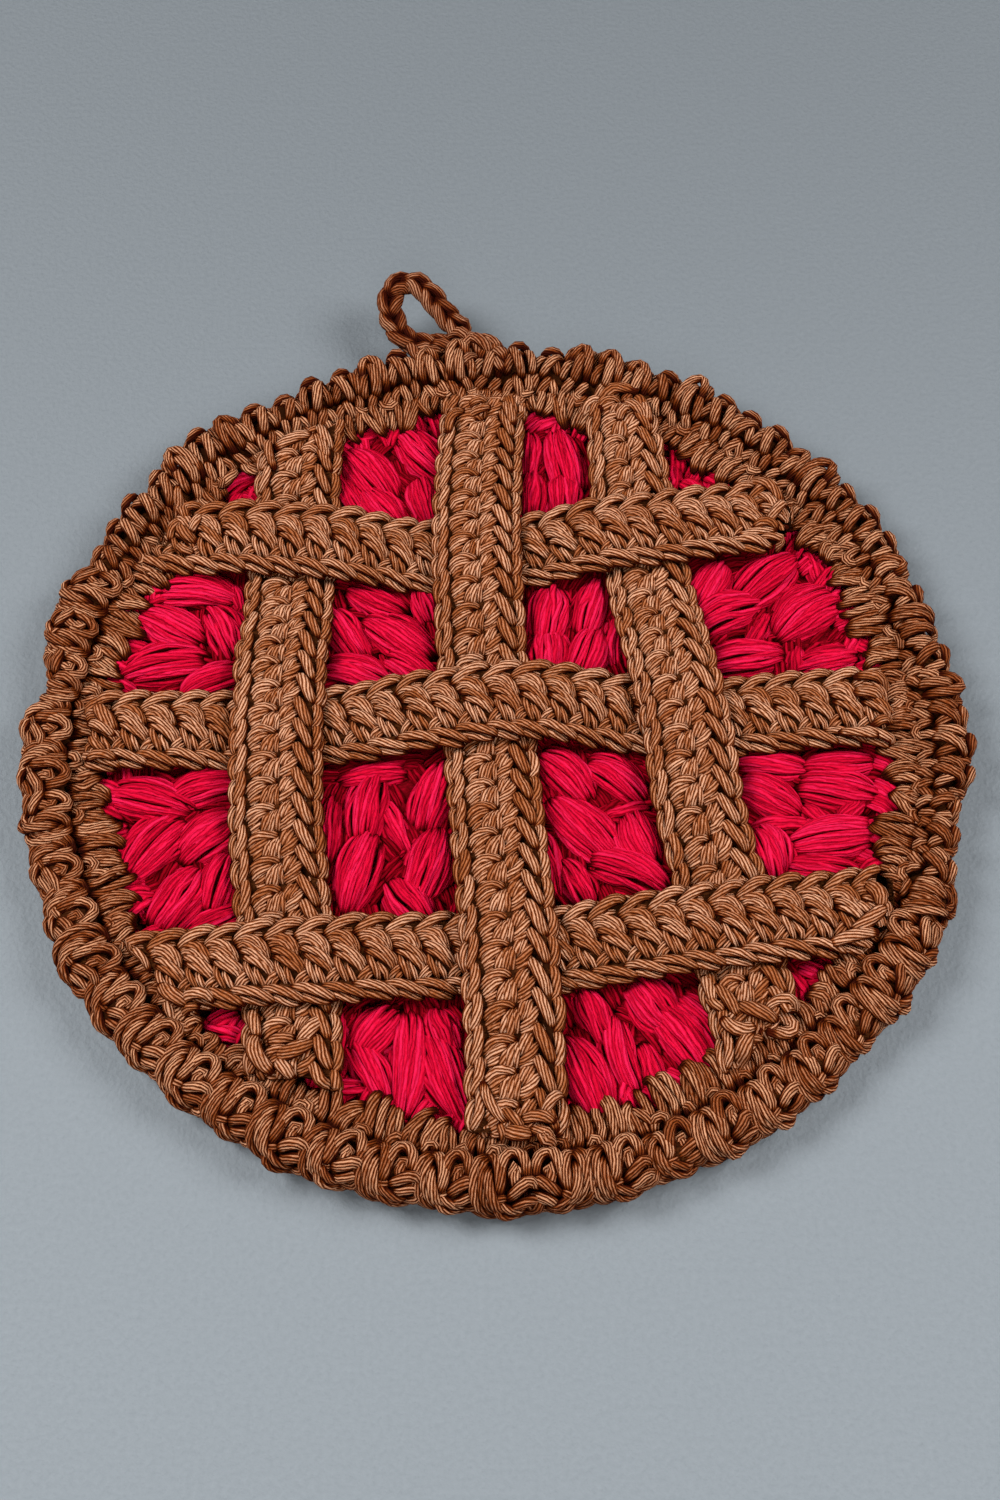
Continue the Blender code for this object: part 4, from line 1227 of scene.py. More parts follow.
    def _rim(self, yarn: YarnMesh, chance: np.random.Generator) -> None:
        """Adds the strands at the disc's edge, which the border is worked onto."""
        for k in range(self.rim_strands):
            jitter = chance.uniform(-self.RIM_JITTER, self.RIM_JITTER)
            angle = 2 * math.pi * (k + jitter) / self.rim_strands
            out = toward(angle)
            round_rim = left_of(out)
            for height, middle in self.RIM_ROUNDS:
                points = RIM_STRAND.points(out * middle, round_rim)
                points[:, 2] += height
                self._lay(yarn, points, self.RIM_WIDTH)
            lean = chance.normal(0.0, self.EDGE_TURN)
            ahead = out * math.cos(lean) + round_rim * math.sin(lean)
            for offset in self.EDGE_OFFSETS:
                points = EDGE_STRAND.points(out * self.EDGE_RADIUS, ahead, offset)
                points[:, 2] += chance.normal(0.0, self.HEIGHT_SPREAD)
                self._lay(yarn, points, self.strand)

    def _lay(self, yarn: YarnMesh, points: np.ndarray, strand: float) -> None:
        """Adds one short strand, pressed down where a strip lies over it."""
        line = self._lowered(smooth_line(points, yarn.FEWEST), strand)
        yarn.add(line * MM, facing(UP, line), strand * MM, strand * MM)

    def _back(self, yarn: YarnMesh, chance: np.random.Generator) -> None:
        """Adds the flat backs of the stitches on the side that it rests on."""
        width, thickness = self.BACK_SIZE
        low = thickness / 2 + self.BACK_REST
        row = self.radius / self.back_rounds
        stitch = Strand(tuple(share * row for share in self.BACK_STATIONS),
                        (self.BACK_END, low, low, self.BACK_END))
        for i in range(self.back_rounds):
            middle = (i + 0.5) * row
            stitches = round(2 * math.pi * middle / self.BACK_STITCH_LENGTH)
            count = max(self.FEWEST_IN_ROUND, stitches)
            lean = self.BACK_LEAN if i % 2 else -self.BACK_LEAN
            for j in range(count):
                angle = 2 * math.pi * (j + 0.5 * (i % 2)) / count
                for offset in self.BACK_OFFSETS:
                    points = stitch.points(toward(angle) * middle, toward(angle + lean), offset)
                    points[:, :2] += chance.normal(0.0, self.BACK_SPREAD, 2)
                    line = smooth_line(points, yarn.FEWEST)
                    yarn.add(line * MM, facing(DOWN, line), width * MM, thickness * MM)


# ---------------------------------------------------------------- the border
# The border's skin under its yarn, from its inner edge over the knobs to the underside: radius,
# height, and how far it follows the rim's lumps outwards.
SKIN = ((80.6, 4.7, 0.0), (83.5, 5.6, 0.0), (87.0, 6.0, 0.0), (89.8, 7.0, 0.1), (92.0, 8.4, 0.35),
        (94.5, 8.7, 0.6), (96.8, 7.6, 0.85), (98.0, 5.8, 1.0), (98.2, 3.9, 1.0), (97.2, 2.0, 0.9),
        (95.4, 1.1, 0.8), (90.0, 0.8, 0.2), (82.5, 0.8, 0.0))
# Where the rim stands out or falls back: compass angle, half its spread in degrees, how far.
RIM_LUMPS = ((15.0, 16.0, -2.2), (74.0, 12.0, 2.2), (112.0, 7.0, -1.6), (133.0, 12.0, 3.0),
             (161.0, 8.0, 1.8), (173.0, 5.0, -4.2), (215.0, 14.0, 1.4), (347.0, 10.0, -2.2))
# Where the inner row falls back from the filling: compass angle, half its spread in degrees, how far.
INNER_BAYS = ((132.0, 10.0, 5.8), (230.5, 10.0, 5.4), (318.0, 8.0, 3.4))
# Under the inner row the web keeps low, so that the filling shows there: radius, height.
WEB_CEILING = ((83.5, 2.4), (87.0, 3.2), (88.2, 100.0))
# How a lobe is laid, as one strand or as two side by side: each one's place across the lobe and its
# width, both as shares of the lobe's width.
SINGLE = ((0.0, 0.92),)
PAIR = ((-0.27, 0.62), (0.27, 0.62))


@dataclass(frozen=True)
class Knob:
    """One kind of knob in the outer row: its length along the rim, how full its yarn is, its lobes.

    Along runs round the rim, across runs outwards over the skin.
    """

    pitch: float
    fullness: float
    lobes: tuple


# Two standing loops, a leaf across and a crossed knot at the rim.
EYES = Knob(11.2, 1.04, (
    Lobe(((-1.2, 11.0, -0.2), (-0.6, 13.5, 0.6), (0.2, 16.5, 0.6), (1.4, 18.6, -0.1)), 2.4, 2.0),
    Lobe(((2.1, 10.1, 0.0), (4.0, 11.5, 1.0), (4.9, 14.1, 1.2), (4.4, 17.2, 0.3)), 2.7, 2.2),
    Lobe(((4.2, 10.5, 0.2), (1.5, 11.6, 1.2), (0.4, 14.1, 1.6), (0.9, 17.1, 1.7), (2.9, 19.4, 1.4),
          (5.6, 20.8, 0.2)), 3.0, 2.3),
    Lobe(((2.9, 12.4, 0.2), (2.5, 14.9, 1.5), (3.6, 17.6, 1.5), (6.0, 19.2, 0.3)), 2.4, 2.0),
    Lobe(((6.9, 15.2, -0.1), (7.2, 13.4, 0.7), (8.2, 12.7, 0.7), (8.9, 14.6, 0.0)), 2.2, 1.8),
    Lobe(((5.2, 16.6, 0.1), (5.4, 13.0, 1.4), (6.7, 11.2, 1.7), (8.5, 10.7, 1.7), (10.1, 12.2, 1.4),
          (10.4, 15.6, 0.1)), 2.6, 2.2),
    Lobe(((0.4, 22.9, 0.0), (2.8, 23.8, 0.9), (5.6, 24.0, 0.9), (8.0, 23.0, 0.1)), 2.6, 1.9),
    Lobe(((6.2, 23.8, 0.0), (8.6, 23.2, 0.9), (11.0, 23.6, 0.9), (12.8, 24.4, 0.0)), 2.6, 1.9),
    Lobe(((-1.4, 20.4, 0.2), (0.8, 21.4, 1.2), (3.2, 22.1, 1.2), (5.2, 22.6, 0.1)), 2.6, 2.1),
    Lobe(((3.9, 19.8, 0.2), (6.3, 21.4, 1.3), (8.6, 22.0, 1.3), (10.6, 21.4, 0.2)), 2.6, 2.1),
    Lobe(((8.1, 20.9, 0.3), (10.4, 20.1, 1.6), (12.0, 18.3, 1.6), (12.5, 16.5, 0.2)), 2.8, 2.2),
    Lobe(((6.6, 18.8, 0.2), (8.75, 17.6, 1.5), (10.8, 17.1, 1.6), (12.6, 17.8, 0.3)), 2.4, 2.0),
    Lobe(((3.5, 17.7, 0.4), (5.0, 18.5, 1.7), (7.1, 19.6, 1.8), (9.2, 20.4, 0.2)), 2.9, 2.2),
    Lobe(((6.0, 17.3, 0.2), (8.0, 15.7, 1.7), (10.4, 15.0, 1.8), (12.5, 16.0, 0.2)), 2.7, 2.2),
    Lobe(((2.2, 13.0, -0.2), (2.6, 15.6, 0.8), (3.4, 18.2, 0.6)), 2.4, 2.0),
    Lobe(((7.6, 12.8, -0.2), (7.8, 14.6, 0.8), (8.4, 16.4, 0.4)), 2.4, 2.0),
    Lobe(((2.6, 18.2, -0.2), (4.4, 17.2, 0.9), (6.2, 16.8, -0.2)), 2.3, 1.9),
    Lobe(((5.0, 20.2, -0.2), (6.8, 19.0, 0.9), (8.6, 18.2, -0.2)), 2.3, 1.9),
))
# A barrel of short lobes side by side, with crossed lobes next to it and a loop round the rim.
BARREL = Knob(9.5, 1.05, (
    Lobe(((0.2, 9.4, 0.0), (1.8, 10.2, 1.2), (3.4, 9.8, 1.0), (4.6, 8.9, -0.1)), 2.2, 1.8),
    Lobe(((0.9, 10.8, 0.0), (0.6, 13.2, 1.5), (0.8, 15.6, 1.3), (1.4, 17.4, 0.2)), 2.5, 2.0),
    Lobe(((2.9, 10.6, 0.2), (2.8, 13.2, 2.1), (2.8, 15.6, 1.9), (2.8, 17.6, 0.3)), 2.6, 2.1),
    Lobe(((4.7, 11.0, 0.0), (4.9, 13.2, 1.4), (4.8, 15.4, 1.2), (4.3, 17.2, 0.2)), 2.3, 1.9),
    Lobe(((5.6, 9.6, -0.2), (7.0, 11.9, 0.9), (7.9, 14.8, 1.0), (7.6, 17.8, 0.0)), 2.7, 2.1),
    Lobe(((8.8, 10.0, 0.1), (7.8, 12.8, 2.0), (6.4, 15.8, 2.1), (5.2, 18.6, 0.3)), 2.9, 2.3),
    Lobe(((0.0, 16.4, 0.2), (0.8, 18.8, 1.6), (2.9, 20.0, 2.1), (5.0, 19.2, 1.6), (6.0, 17.0, 0.2)),
         3.0, 2.3),
    Lobe(((5.6, 18.8, 0.1), (7.2, 20.4, 1.4), (9.0, 19.8, 1.2), (9.8, 17.8, 0.1)), 2.8, 2.2),
    Lobe(((0.4, 21.4, 0.0), (3.0, 22.8, 1.2), (5.8, 22.8, 1.2), (8.4, 21.4, 0.0)), 2.9, 2.1),
    Lobe(((5.0, 23.6, 0.0), (7.6, 24.0, 0.7), (10.4, 23.6, 0.0)), 2.6, 1.9),
))
# Short strands that cross over one another up to the rim, with one bent round it.
ROSETTE = Knob(7.2, 1.16, (
    Lobe(((0.2, 7.6, -0.3), (1.0, 9.6, 1.2), (2.4, 11.8, -0.1)), 2.2, 1.9),
    Lobe(((4.4, 7.2, -0.3), (3.6, 9.4, 1.5), (2.6, 12.4, 0.0)), 2.3, 1.9),
    Lobe(((6.0, 8.2, -0.3), (6.2, 10.4, 1.2), (5.6, 12.8, 0.0)), 2.2, 1.9),
    Lobe(((6.8, 11.6, 0.0), (6.7, 14.0, 1.5), (5.8, 16.4, 1.5), (4.8, 18.2, 0.0)), 2.3, 2.0),
    Lobe(((0.4, 12.0, 0.0), (1.4, 13.8, 1.8), (3.2, 15.6, 1.5), (4.8, 17.0, 0.0)), 2.3, 2.0),
    Lobe(((4.8, 11.4, 0.0), (3.8, 13.2, 2.2), (2.2, 15.4, 2.2), (0.9, 17.6, 0.1)), 2.4, 2.0),
    Lobe(((-0.2, 14.6, 0.0), (0.1, 16.6, 1.3), (1.0, 18.6, 1.1), (2.4, 20.0, 0.0)), 2.2, 1.9),
    Lobe(((1.0, 18.6, 0.2), (2.6, 17.2, 2.1), (4.6, 17.2, 2.1), (6.2, 18.8, 0.2)), 2.4, 2.0),
    Lobe(((3.6, 20.4, 0.0), (5.0, 19.4, 1.5), (6.8, 19.4, 1.4), (8.0, 20.6, 0.0)), 2.3, 1.9),
    Lobe(((-0.2, 20.4, 0.0), (1.6, 21.6, 1.3), (3.6, 21.8, 1.2), (5.2, 20.8, 0.0)), 2.4, 2.0),
    Lobe(((2.8, 23.2, 0.0), (5.2, 23.8, 0.9), (8.0, 23.2, 0.0)), 2.4, 1.9),
    Lobe(((-0.8, 18.4, -0.5), (3.4, 18.8, 0.2), (7.8, 18.4, -0.5)), 2.5, 2.4),
))
# The same size of knob: a short loop stands over the rim with its two feet crossed.
CURL = Knob(7.0, 1.18, (
    Lobe(((2.4, 7.2, -0.3), (1.4, 9.2, 1.3), (0.2, 11.4, -0.1)), 2.2, 1.9),
    Lobe(((5.4, 7.8, -0.3), (5.0, 9.8, 1.4), (3.8, 12.0, 0.0)), 2.2, 1.9),
    Lobe(((1.2, 11.0, 0.0), (0.9, 13.2, 1.8), (1.4, 15.8, 2.3), (3.2, 17.6, 2.3), (5.0, 16.6, 2.0),
          (5.6, 14.2, 0.4)), 2.4, 2.0),
    Lobe(((3.8, 10.8, 0.0), (3.2, 12.8, 1.6), (3.2, 15.0, 1.7), (3.6, 17.0, 0.8)), 2.5, 2.2),
    Lobe(((-0.8, 18.4, -0.5), (3.4, 18.8, 0.2), (7.8, 18.4, -0.5)), 2.5, 2.4),
    Lobe(((6.4, 10.8, -0.2), (6.4, 12.8, 1.2), (5.4, 15.0, 1.0), (4.4, 16.0, 0.0)), 2.3, 1.9),
    Lobe(((6.8, 15.2, 0.0), (6.0, 17.6, 1.6), (4.2, 19.4, 1.7), (2.2, 20.0, 0.1)), 2.4, 2.0),
    Lobe(((-0.4, 16.8, 0.0), (0.6, 18.8, 1.6), (2.4, 20.4, 1.5), (4.4, 21.0, 0.0)), 2.4, 2.0),
    Lobe(((4.2, 21.0, 0.0), (5.6, 20.4, 1.3), (7.2, 20.8, 1.2), (8.2, 22.0, 0.0)), 2.3, 1.9),
    Lobe(((0.0, 22.6, 0.0), (2.4, 23.6, 1.0), (5.0, 23.4, 0.0)), 2.4, 1.9),
))
# Which knobs are used up to which compass angle, in degrees.
KNOB_STRETCHES = ((25.0, (BARREL, ROSETTE, CURL)), (155.0, (ROSETTE, CURL)), (330.0, (EYES,)),
                  (360.0, (BARREL, EYES, ROSETTE)))
# One claw of the inner row, which reaches in over the filling.
CLAW = (
    Lobe(((7.2, 9.0, -0.5), (7.0, 6.4, 0.0), (6.8, 4.2, 0.1), (6.8, 2.6, -0.5)), 2.5, 2.0),
    Lobe(((4.2, 9.6, -0.5), (4.0, 7.2, 0.2), (4.2, 4.6, 0.2), (4.4, 3.0, -0.5)), 2.5, 2.0),
    Lobe(((5.2, 10.0, 0.0), (6.2, 8.0, 1.1), (7.6, 7.6, 0.9), (8.6, 8.8, -0.2)), 2.3, 1.9),
    Lobe(((5.6, 9.4, -0.2), (5.2, 6.6, 1.1), (4.8, 4.2, 1.2), (4.5, 2.0, 0.1)), 2.2, 1.9),
    Lobe(((3.0, 10.0, -0.1), (2.6, 6.8, 1.6), (3.0, 3.8, 1.9), (4.0, 1.2, 0.6)), 2.3, 2.0),
    Lobe(((0.9, 9.4, -0.1), (0.5, 6.4, 1.2), (1.4, 3.2, 1.9), (3.6, 0.6, 0.8)), 2.4, 2.0),
)
# One repeat of the border's underside.
UNDERSIDE = (
    Lobe(((0.6, 26.4, 0.0), (1.4, 29.0, 0.1), (1.8, 33.0, 0.1), (1.4, 36.0, 0.0)), 2.4, 1.1),
    Lobe(((3.2, 26.0, 0.0), (4.2, 29.4, 0.1), (4.6, 33.0, 0.1), (4.2, 36.4, 0.0)), 2.4, 1.1),
    Lobe(((6.2, 26.4, 0.0), (7.0, 29.2, 0.1), (7.4, 33.0, 0.1), (7.0, 36.0, 0.0)), 2.4, 1.1),
    Lobe(((9.0, 26.2, 0.0), (9.8, 29.4, 0.1), (10.2, 33.0, 0.1), (9.8, 36.4, 0.0)), 2.4, 1.1),
)


@dataclass
class Border:
    """The brown border: an inner row of claws and an outer row of knobs.

    RIM_EDGE and SHOULDER are places across the skin, each with the width over which it takes hold:
    from the first the rim holds the yarn down, and from the second the knobs swell.
    """

    SECTION_POINTS = 200
    LEAST_ROOM = 4.0
    KNOB_MIDDLE = 15.0
    KNOB_HEIGHT_SPREAD = 0.12
    RIM_EDGE = (17.5, 3.0)
    SHOULDER = (9.0, 7.0)
    BULGE_FROM = 0.6
    # How far each point of a lobe strays, and how much of that goes along, across and up.
    KNOB_STRAY, CLAW_STRAY, UNDERSIDE_STRAY = 0.125, 0.2, 0.075
    STRAY_AXES = (1.0, 1.0, 0.4)
    # How a claw strays as a whole, how its reach and lean vary, and each strand's lean and height.
    CLAW_SPREAD, CLAW_DRIFT = 0.4, (1.0, 0.8, 0.35)
    REACH_SPREAD, LEAN_SPREAD = 1.6, 1.4
    FAN_SPREAD, LIFT_SPREAD = 0.8, 0.25
    # In a bay deeper than this, a claw's own reach varies only by this share.
    BAY_DEPTH, BAY_CALM = 0.5, 0.3
    CLAW_INNER = 8.0
    CLAW_FULLNESS = (0.9, 1.15)
    WIDTHS = (0.93, 1.07)
    ROUNDEST = 0.95
    SINK = 0.12
    # How close two strands lie at a lobe's ends, and how much further apart in its middle.
    GATHER = (0.6, 0.4)

    backs: int = 55
    claws: int = 88
    mirrored: float = 0.35
    size_spread: float = 0.07
    push_spread: float = 0.5
    twist_spread: float = 0.12
    relief: float = 1.08
    bulge: float = 1.9
    rim_hold: float = 0.45
    widest_strand: float = 2.85
    band: float = 17.5
    band_length: float = 567.0
    chart_radius: float = 98.0
    web_inset: float = 1.3
    clearance: float = 0.2
    rest: float = 0.14
    seed: int = 31

    def __post_init__(self) -> None:
        """Measures the skin's section along its own surface."""
        skin = smooth_line(np.array(SKIN), self.SECTION_POINTS)
        self.section = skin[:, :2]
        self.marks = lengths_along(self.section)
        self.follows = skin[:, 2]
        self.outward = left_of(unit(np.gradient(self.section, axis=0)))
        self.ceiling = Lookup(*(strip.node for strip in STRIPS))

    @staticmethod
    def reach(angle: np.ndarray, lumps: tuple) -> np.ndarray:
        """How far a row of lumps stands out of its mean circle at an angle, in millimetres."""
        reach = np.zeros_like(angle)
        for degrees, spread, size in lumps:
            away = (np.degrees(angle) - degrees + 180.0) % 360.0 - 180.0
            share = np.clip(np.abs(away) / spread, 0.0, 1.0)
            reach += size * (0.5 + 0.5 * np.cos(math.pi * share))
        return reach

    def place(self, chart: np.ndarray) -> tuple[np.ndarray, np.ndarray]:
        """Lays chart points on the border.

        Args:
            chart: Points (along the rim, across the skin, height) in millimetres.

        Returns:
            The points in metres, and the direction away from the skin at each.
        """
        along, across, height = chart.T
        angle = along / self.chart_radius
        out = np.stack([np.cos(angle), np.sin(angle)], axis=1)
        radius, z = (np.interp(across, self.marks, column) for column in self.section.T)
        away, up = (np.interp(across, self.marks, column) for column in self.outward.T)
        radius = radius + np.interp(across, self.marks, self.follows) * self.reach(angle, RIM_LUMPS)
        radius = radius + away * height
        points = np.column_stack([out * radius[:, None], z + up * height])
        return points * MM, unit(np.column_stack([out * away[:, None], up]))

    def build(self, brown: bpy.types.Material, web: bpy.types.Material) -> list[bpy.types.Object]:
        """Makes the knobs, the inner row, the underside and the web.

        Args:
            brown: The yarn's material.
            web: The web's material.

        Returns:
            The pieces, the knobs first and the web last.
        """
        chance = np.random.default_rng(self.seed)
        return [
            self._knobs(brown, chance),
            self._claws(brown, chance),
            self._underside(brown, chance),
            web_from("border", "border_web", self.web_inset * MM, web, WEB_CEILING),
        ]

    def _knobs(self, brown: bpy.types.Material, chance: np.random.Generator) -> bpy.types.Object:
        """The outer row, each of whose knobs has its own size, turn and reach."""
        yarn = YarnMesh("border_knobs")
        round_rim = 2 * math.pi * self.chart_radius
        row: list[Knob] = []
        along = 0.0
        while along < round_rim - self.LEAST_ROOM:
            degrees = math.degrees(along / self.chart_radius)
            kinds = next(kinds for last_degree, kinds in KNOB_STRETCHES if degrees < last_degree)
            row.append(kinds[chance.integers(len(kinds))])
            along += row[-1].pitch
        fit = round_rim / along
        start = 0.0
        for knob in row:
            middle = np.array([knob.pitch / 2, self.KNOB_MIDDLE, 0.0])
            size = np.array([1.0, chance.normal(1.0, self.size_spread),
                             chance.normal(1.0, self.KNOB_HEIGHT_SPREAD)])
            push = chance.normal(0.0, self.push_spread)
            twist = chance.normal(0.0, self.twist_spread)
            mirror = chance.random() < self.mirrored
            for lobe in knob.lobes:
                points = np.array(lobe.points, float)
                if mirror:
                    points[:, 0] = knob.pitch - points[:, 0]
                points = (points - middle) * size + middle
                share = np.clip(points[:, 0] / knob.pitch, 0.0, 1.0)
                swell = self.bulge * (np.sin(math.pi * share) - self.BULGE_FROM)
                held = 1.0 - self.rim_hold * rising(points[:, 1], *self.RIM_EDGE)
                points[:, 2] = points[:, 2] * self.relief * held
                points[:, 2] += (push + swell) * held * rising(points[:, 1], *self.SHOULDER)
                points[:, 0] += (points[:, 1] - middle[1]) * twist
                points[:, 0] = points[:, 0] * fit + start
                self._lay(yarn, lobe, points, knob.fullness, chance, self.KNOB_STRAY)
            start += knob.pitch * fit
        return yarn.build(brown)

    def _claws(self, brown: bpy.types.Material, chance: np.random.Generator) -> bpy.types.Object:
        """The inner row, each of whose claws reaches in and leans in its own way."""
        yarn = YarnMesh("border_inner_row")
        pitch = 2 * math.pi * self.chart_radius / self.claws
        for k in range(self.claws):
            drift = chance.normal(0.0, self.CLAW_SPREAD, 3) * self.CLAW_DRIFT
            inward, lean = chance.normal(0.0, self.REACH_SPREAD), chance.normal(0.0, self.LEAN_SPREAD)
            middle = np.array([(k + 0.5) * pitch / self.chart_radius])
            bay = self.reach(middle, INNER_BAYS)[0]
            inward = inward * (self.BAY_CALM if bay > self.BAY_DEPTH else 1.0) + bay
            mirror = chance.random() < 0.5
            for lobe in CLAW:
                points = np.array(lobe.points, float)
                if mirror:
                    points[:, 0] = pitch - points[:, 0]
                inner = np.clip(1.0 - points[:, 1] / self.CLAW_INNER, 0.0, 1.0)
                points[:, 1] += inward * inner
                points[:, 0] += k * pitch + (lean + chance.normal(0.0, self.FAN_SPREAD)) * inner
                points[:, 2] += chance.normal(0.0, self.LIFT_SPREAD)
                fullness = chance.uniform(*self.CLAW_FULLNESS)
                self._lay(yarn, lobe, points + drift, fullness, chance, self.CLAW_STRAY)
        return yarn.build(brown)

    def _underside(self, brown: bpy.types.Material, chance: np.random.Generator) -> bpy.types.Object:
        """The flat row on the side that the border rests on."""
        yarn = YarnMesh("border_underside")
        pitch = 2 * math.pi * self.chart_radius / self.backs
        for k in range(self.backs):
            for lobe in UNDERSIDE:
                points = np.array(lobe.points, float) + (k * pitch, 0.0, 0.0)
                self._lay(yarn, lobe, points, 1.0, chance, self.UNDERSIDE_STRAY)
        return yarn.build(brown)

    def _lay(self, yarn: YarnMesh, lobe: Lobe, points: np.ndarray, fullness: float,
             chance: np.random.Generator, unevenness: float) -> None:
        """Adds one lobe over the skin, a little unevenly, as two strands where it is a wide one."""
        points = points + chance.normal(0.0, unevenness, points.shape) * self.STRAY_AXES
        line = smooth_line(points, yarn.stations_for(rough_length(points) * MM))
        least, growth = self.GATHER
        gather = least + growth * np.sin(math.pi * np.linspace(0.0, 1.0, len(line)))
        beside = left_of(unit(np.gradient(line[:, :2], axis=0))) * gather[:, None]
        strands = PAIR if lobe.width > self.widest_strand else SINGLE
        for offset, share in strands:
            width = lobe.width * fullness * share * chance.uniform(*self.WIDTHS)
            thickness = min(lobe.thickness, self.ROUNDEST * width)
            strand = line.copy()
            strand[:, :2] += beside * offset * lobe.width * fullness
            strand[:, 2] += chance.normal(0.0, self.SINK) * len(strands) - self.SINK
            placed, ups = self.place(strand)
            self._press(placed, thickness)
            yarn.add(placed, ups, width * MM, thickness * MM)

    def _press(self, placed: np.ndarray, thickness: float) -> None:
        """Keeps points under the strips, and above the surface that the border rests on."""
        for point in placed:
            above = self.ceiling.underside(point[0], point[1])
            if above is not None:
                point[2] = min(point[2], above - (self.clearance + thickness / 2) * MM)
            point[2] = max(point[2], (thickness / 2 + self.rest) * MM)


# ---------------------------------------------------------------- the hanging loop
# One stitch of the chain: along in stitches, then sideways and up from its middle in millimetres.
CHAIN_STITCH = (
    Lobe(((-0.3, 0.2, 1.0), (0.2, 1.35, 1.5), (0.75, 1.95, 0.8), (1.3, 1.4, -0.6)), 3.2, 2.5),
    Lobe(((-0.3, -0.2, 1.0), (0.2, -1.35, 1.5), (0.75, -1.95, 0.8), (1.3, -1.4, -0.6)), 3.2, 2.5),
    Lobe(((-0.2, 0.0, -0.4), (0.2, 0.1, -0.4), (0.7, 0.1, -0.4), (1.2, 0.0, -0.4)), 3.6, 3.0),
    Lobe(((-0.35, -1.1, -0.7), (0.1, -0.4, -1.4), (0.5, 0.6, -1.4), (0.9, 1.3, -0.7)), 2.8, 2.0),
)


@dataclass
class HangingLoop:
    """The chain that the pot holder hangs by, with its root worked into the border."""

    COURSE_POINTS = 300
    LOBE_STATIONS = 8
    STRAY = 0.09

    route: tuple = ((-15.6, 100.4, 7.2), (-20.6, 101.2, 8.0), (-23.6, 104.1, 9.2),
                    (-24.9, 108.2, 11.0), (-24.3, 112.1, 12.4), (-20.6, 114.2, 13.4),
                    (-16.6, 112.2, 12.6), (-13.3, 108.5, 11.0), (-10.3, 105.2, 9.4),
                    (-7.6, 102.6, 8.0), (-10.6, 101.0, 7.0), (-15.6, 100.4, 7.2))
    stitch: float = 4.4
    seed: int = 41

    def build(self, brown: bpy.types.Material, ground: Lookup) -> list[bpy.types.Object]:
        """Makes the loop's chain of stitches and the knot at its root.

        Args:
            brown: The yarn's material.
            ground: The solids that its root lies on.

        Returns:
            The loop's one piece.
        """
        chance = np.random.default_rng(self.seed)
        dense = smooth_line(np.array(self.route), self.COURSE_POINTS)
        marks = lengths_along(dense)
        tangent = unit(np.gradient(dense, axis=0))
        side = unit(np.cross(tangent, UP))
        over = np.cross(side, tangent)
        yarn = YarnMesh("hanging_loop_yarn")
        count = round(marks[-1] / self.stitch)
        pitch = marks[-1] / count
        for k in range(count):
            for lobe in CHAIN_STITCH:
                points = np.array(lobe.points)
                points = points + chance.normal(0.0, self.STRAY, points.shape)
                spots = (points[:, 0] * pitch + k * pitch) % marks[-1]
                centre, wide, high = (looked_up(marks, spots, grid) for grid in (dense, side, over))
                away = points[:, 1:2] * wide + points[:, 2:3] * high
                line = smooth_line(np.hstack([centre + away, unit(away)]), self.LOBE_STATIONS)
                yarn.add(line[:, :3] * MM, unit(line[:, 3:]), lobe.width * MM, lobe.thickness * MM)
        add_ties(yarn, "hanging_loop", ground)
        return [yarn.build(brown)]


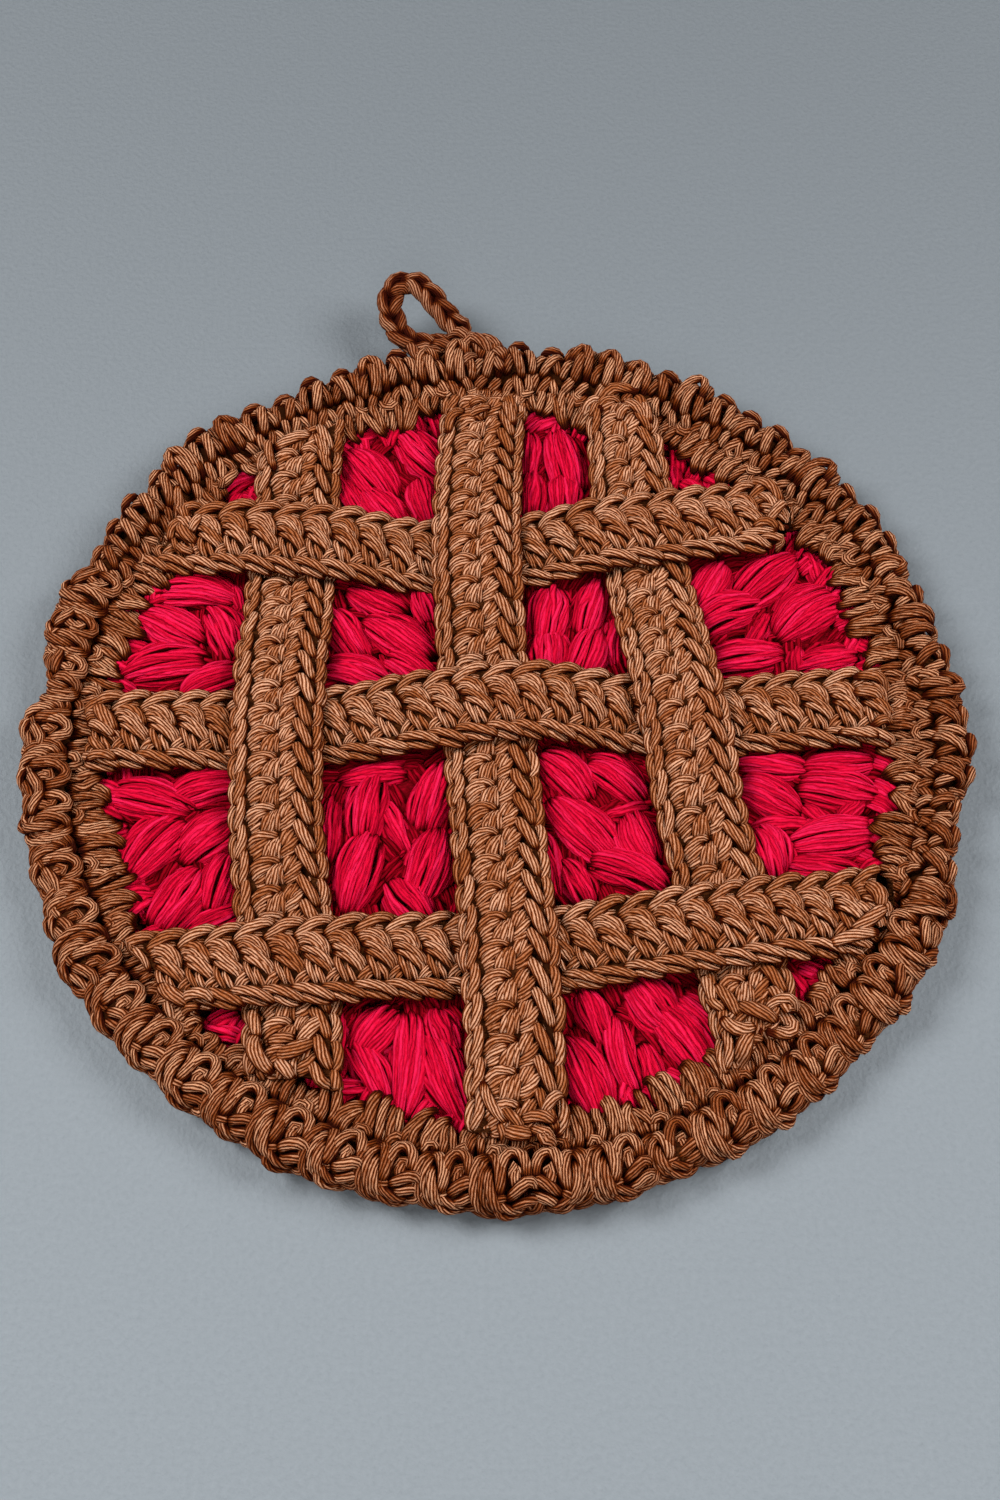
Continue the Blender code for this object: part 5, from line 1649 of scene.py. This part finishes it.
# ---------------------------------------------------------------- the studio
@dataclass
class Studio:
    """The camera at the photograph's angle, a plain floor and soft light from three sides.

    Each lamp has its name, place, size and power. The floor has a dark and a light tone near the
    viewer and two darker ones far away, painted shade where the light falls off, and FLOOR_FADE says
    between which places they change.
    """

    LAMPS = (("left_light", (-0.56, 0.12, 0.68), 0.38, 8.6),
             ("right_light", (0.60, 0.07, 0.62), 0.42, 6.6),
             ("near_light", (0.0, -0.72, 0.80), 0.60, 4.4))
    # The far tones are the near ones darkened: painted shade where the light falls off.
    NEAR_TONES = ((0.178, 0.202, 0.221, 1.0), (0.219, 0.245, 0.266, 1.0))
    FAR_SHADED_TONES = ((0.124, 0.141, 0.155, 1.0), (0.153, 0.171, 0.186, 1.0))
    FLOOR_FADE = (-0.2, 0.2)
    SKY = (0.92, 0.95, 1.0, 1.0)

    aim: tuple = (0.0007, -0.0005, 0.0)
    distance: float = 0.400
    elevation: float = 64.0
    lens: float = 45.0
    floor_size: float = 3.0
    floor_grain: float = 900.0
    floor_relief: float = 0.0003
    floor_roughness: float = 0.75
    sky_strength: float = 0.09

    def build(self) -> None:
        """Adds the camera, floor, lights and surroundings to the scene."""
        self._camera()
        self._floor()
        for name, place, size, power in self.LAMPS:
            self._light(name, place, size, power)
        world = bpy.data.worlds.new("surroundings")
        world.use_nodes = True
        back = world.node_tree.nodes["Background"]
        back.inputs["Color"].default_value = self.SKY
        back.inputs["Strength"].default_value = self.sky_strength
        bpy.context.scene.world = world
        bpy.context.scene.view_settings.view_transform = "Standard"

    def _camera(self) -> None:
        """Adds the camera."""
        data = bpy.data.cameras.new("camera")
        data.lens = self.lens
        data.clip_start = 0.01
        camera = bpy.data.objects.new("camera", data)
        tilt = math.radians(self.elevation)
        camera.location = (self.aim[0], self.aim[1] - self.distance * math.cos(tilt),
                           self.aim[2] + self.distance * math.sin(tilt))
        camera.rotation_euler = (math.radians(90.0) - tilt, 0.0, 0.0)
        bpy.context.scene.collection.objects.link(camera)
        bpy.context.scene.camera = camera

    def _floor(self) -> None:
        """Adds the floor, a plain matt surface with a fine grain and painted shade away from the viewer."""
        half = self.floor_size / 2
        mesh = bpy.data.meshes.new("floor")
        corners = [(-half, -half, 0.0), (half, -half, 0.0), (half, half, 0.0), (-half, half, 0.0)]
        mesh.from_pydata(corners, [], [(0, 1, 2, 3)])
        made = bpy.data.materials.new("floor_finish")
        made.use_nodes = True
        kit = NodeKit(made.node_tree)
        shader = made.node_tree.nodes["Principled BSDF"]
        place = kit.node("ShaderNodeTexCoord").outputs["Object"]
        grain = kit.noise(place, self.floor_grain, 3.0)
        split = kit.node("ShaderNodeSeparateXYZ")
        kit.feed(split.inputs[0], place)
        # Painted shade: the floor darkens from the near tones to the far ones, as the light falls off.
        away = kit.remap(split.outputs[1], *self.FLOOR_FADE)
        near, far = kit.mix(grain, *self.NEAR_TONES), kit.mix(grain, *self.FAR_SHADED_TONES)
        kit.feed(shader.inputs["Base Color"], kit.mix(away, near, far))
        shader.inputs["Roughness"].default_value = self.floor_roughness
        kit.bump(shader, grain, self.floor_relief)
        mesh.materials.append(made)
        floor = bpy.data.objects.new("floor", mesh)
        bpy.context.scene.collection.objects.link(floor)

    @staticmethod
    def _light(name: str, place: tuple, size: float, power: float) -> None:
        """Adds one soft light that faces the pot holder."""
        data = bpy.data.lights.new(name, "AREA")
        data.size = size
        data.energy = power
        lamp = bpy.data.objects.new(name, data)
        lamp.location = place
        lamp.rotation_euler = Vector(place).to_track_quat("Z", "Y").to_euler()
        bpy.context.scene.collection.objects.link(lamp)


# ---------------------------------------------------------------- the whole
def attach(pieces: list[bpy.types.Object], node: str) -> None:
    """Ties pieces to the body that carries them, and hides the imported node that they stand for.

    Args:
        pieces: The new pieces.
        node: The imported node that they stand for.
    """
    for piece in pieces:
        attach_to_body(piece, BODY)
        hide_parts(node)
        log.info("%s: %d faces", piece.name, len(piece.data.polygons))


def main() -> None:
    """Builds every sub-assembly in order."""
    logging.basicConfig(level=logging.INFO, format="%(message)s")
    Studio().build()
    groups = {"plies": spun_plies_group(), "fibres": fine_fibres_group(), "depth": lobe_shade_group()}
    strip_brown, border_brown = STRIP_YARN.material(groups), BORDER_YARN.material(groups)
    red = RED_YARN.material(groups)
    brown_web, red_web = BROWN_WEB.material(groups), RED_WEB.material(groups)
    disc, rim = Filling(), Border()
    *filling, filling_web = disc.build(red, SHADED_RED_YARN.material(groups), red_web)
    attach([*filling, filling_web], "filling")
    *border, border_web = rim.build(border_brown, brown_web)
    attach([*border, border_web], "border")
    ground = Lookup("border", "hanging_loop", *(strip.node for strip in STRIPS))
    for strip in STRIPS:
        yarn, web = strip.build(strip_brown, brown_web, ground)
        attach([yarn, web], strip.node)
    attach(HangingLoop().build(SHADED_LOOP_YARN.material(groups), ground), "hanging_loop")


if __name__ == "__main__":
    main()
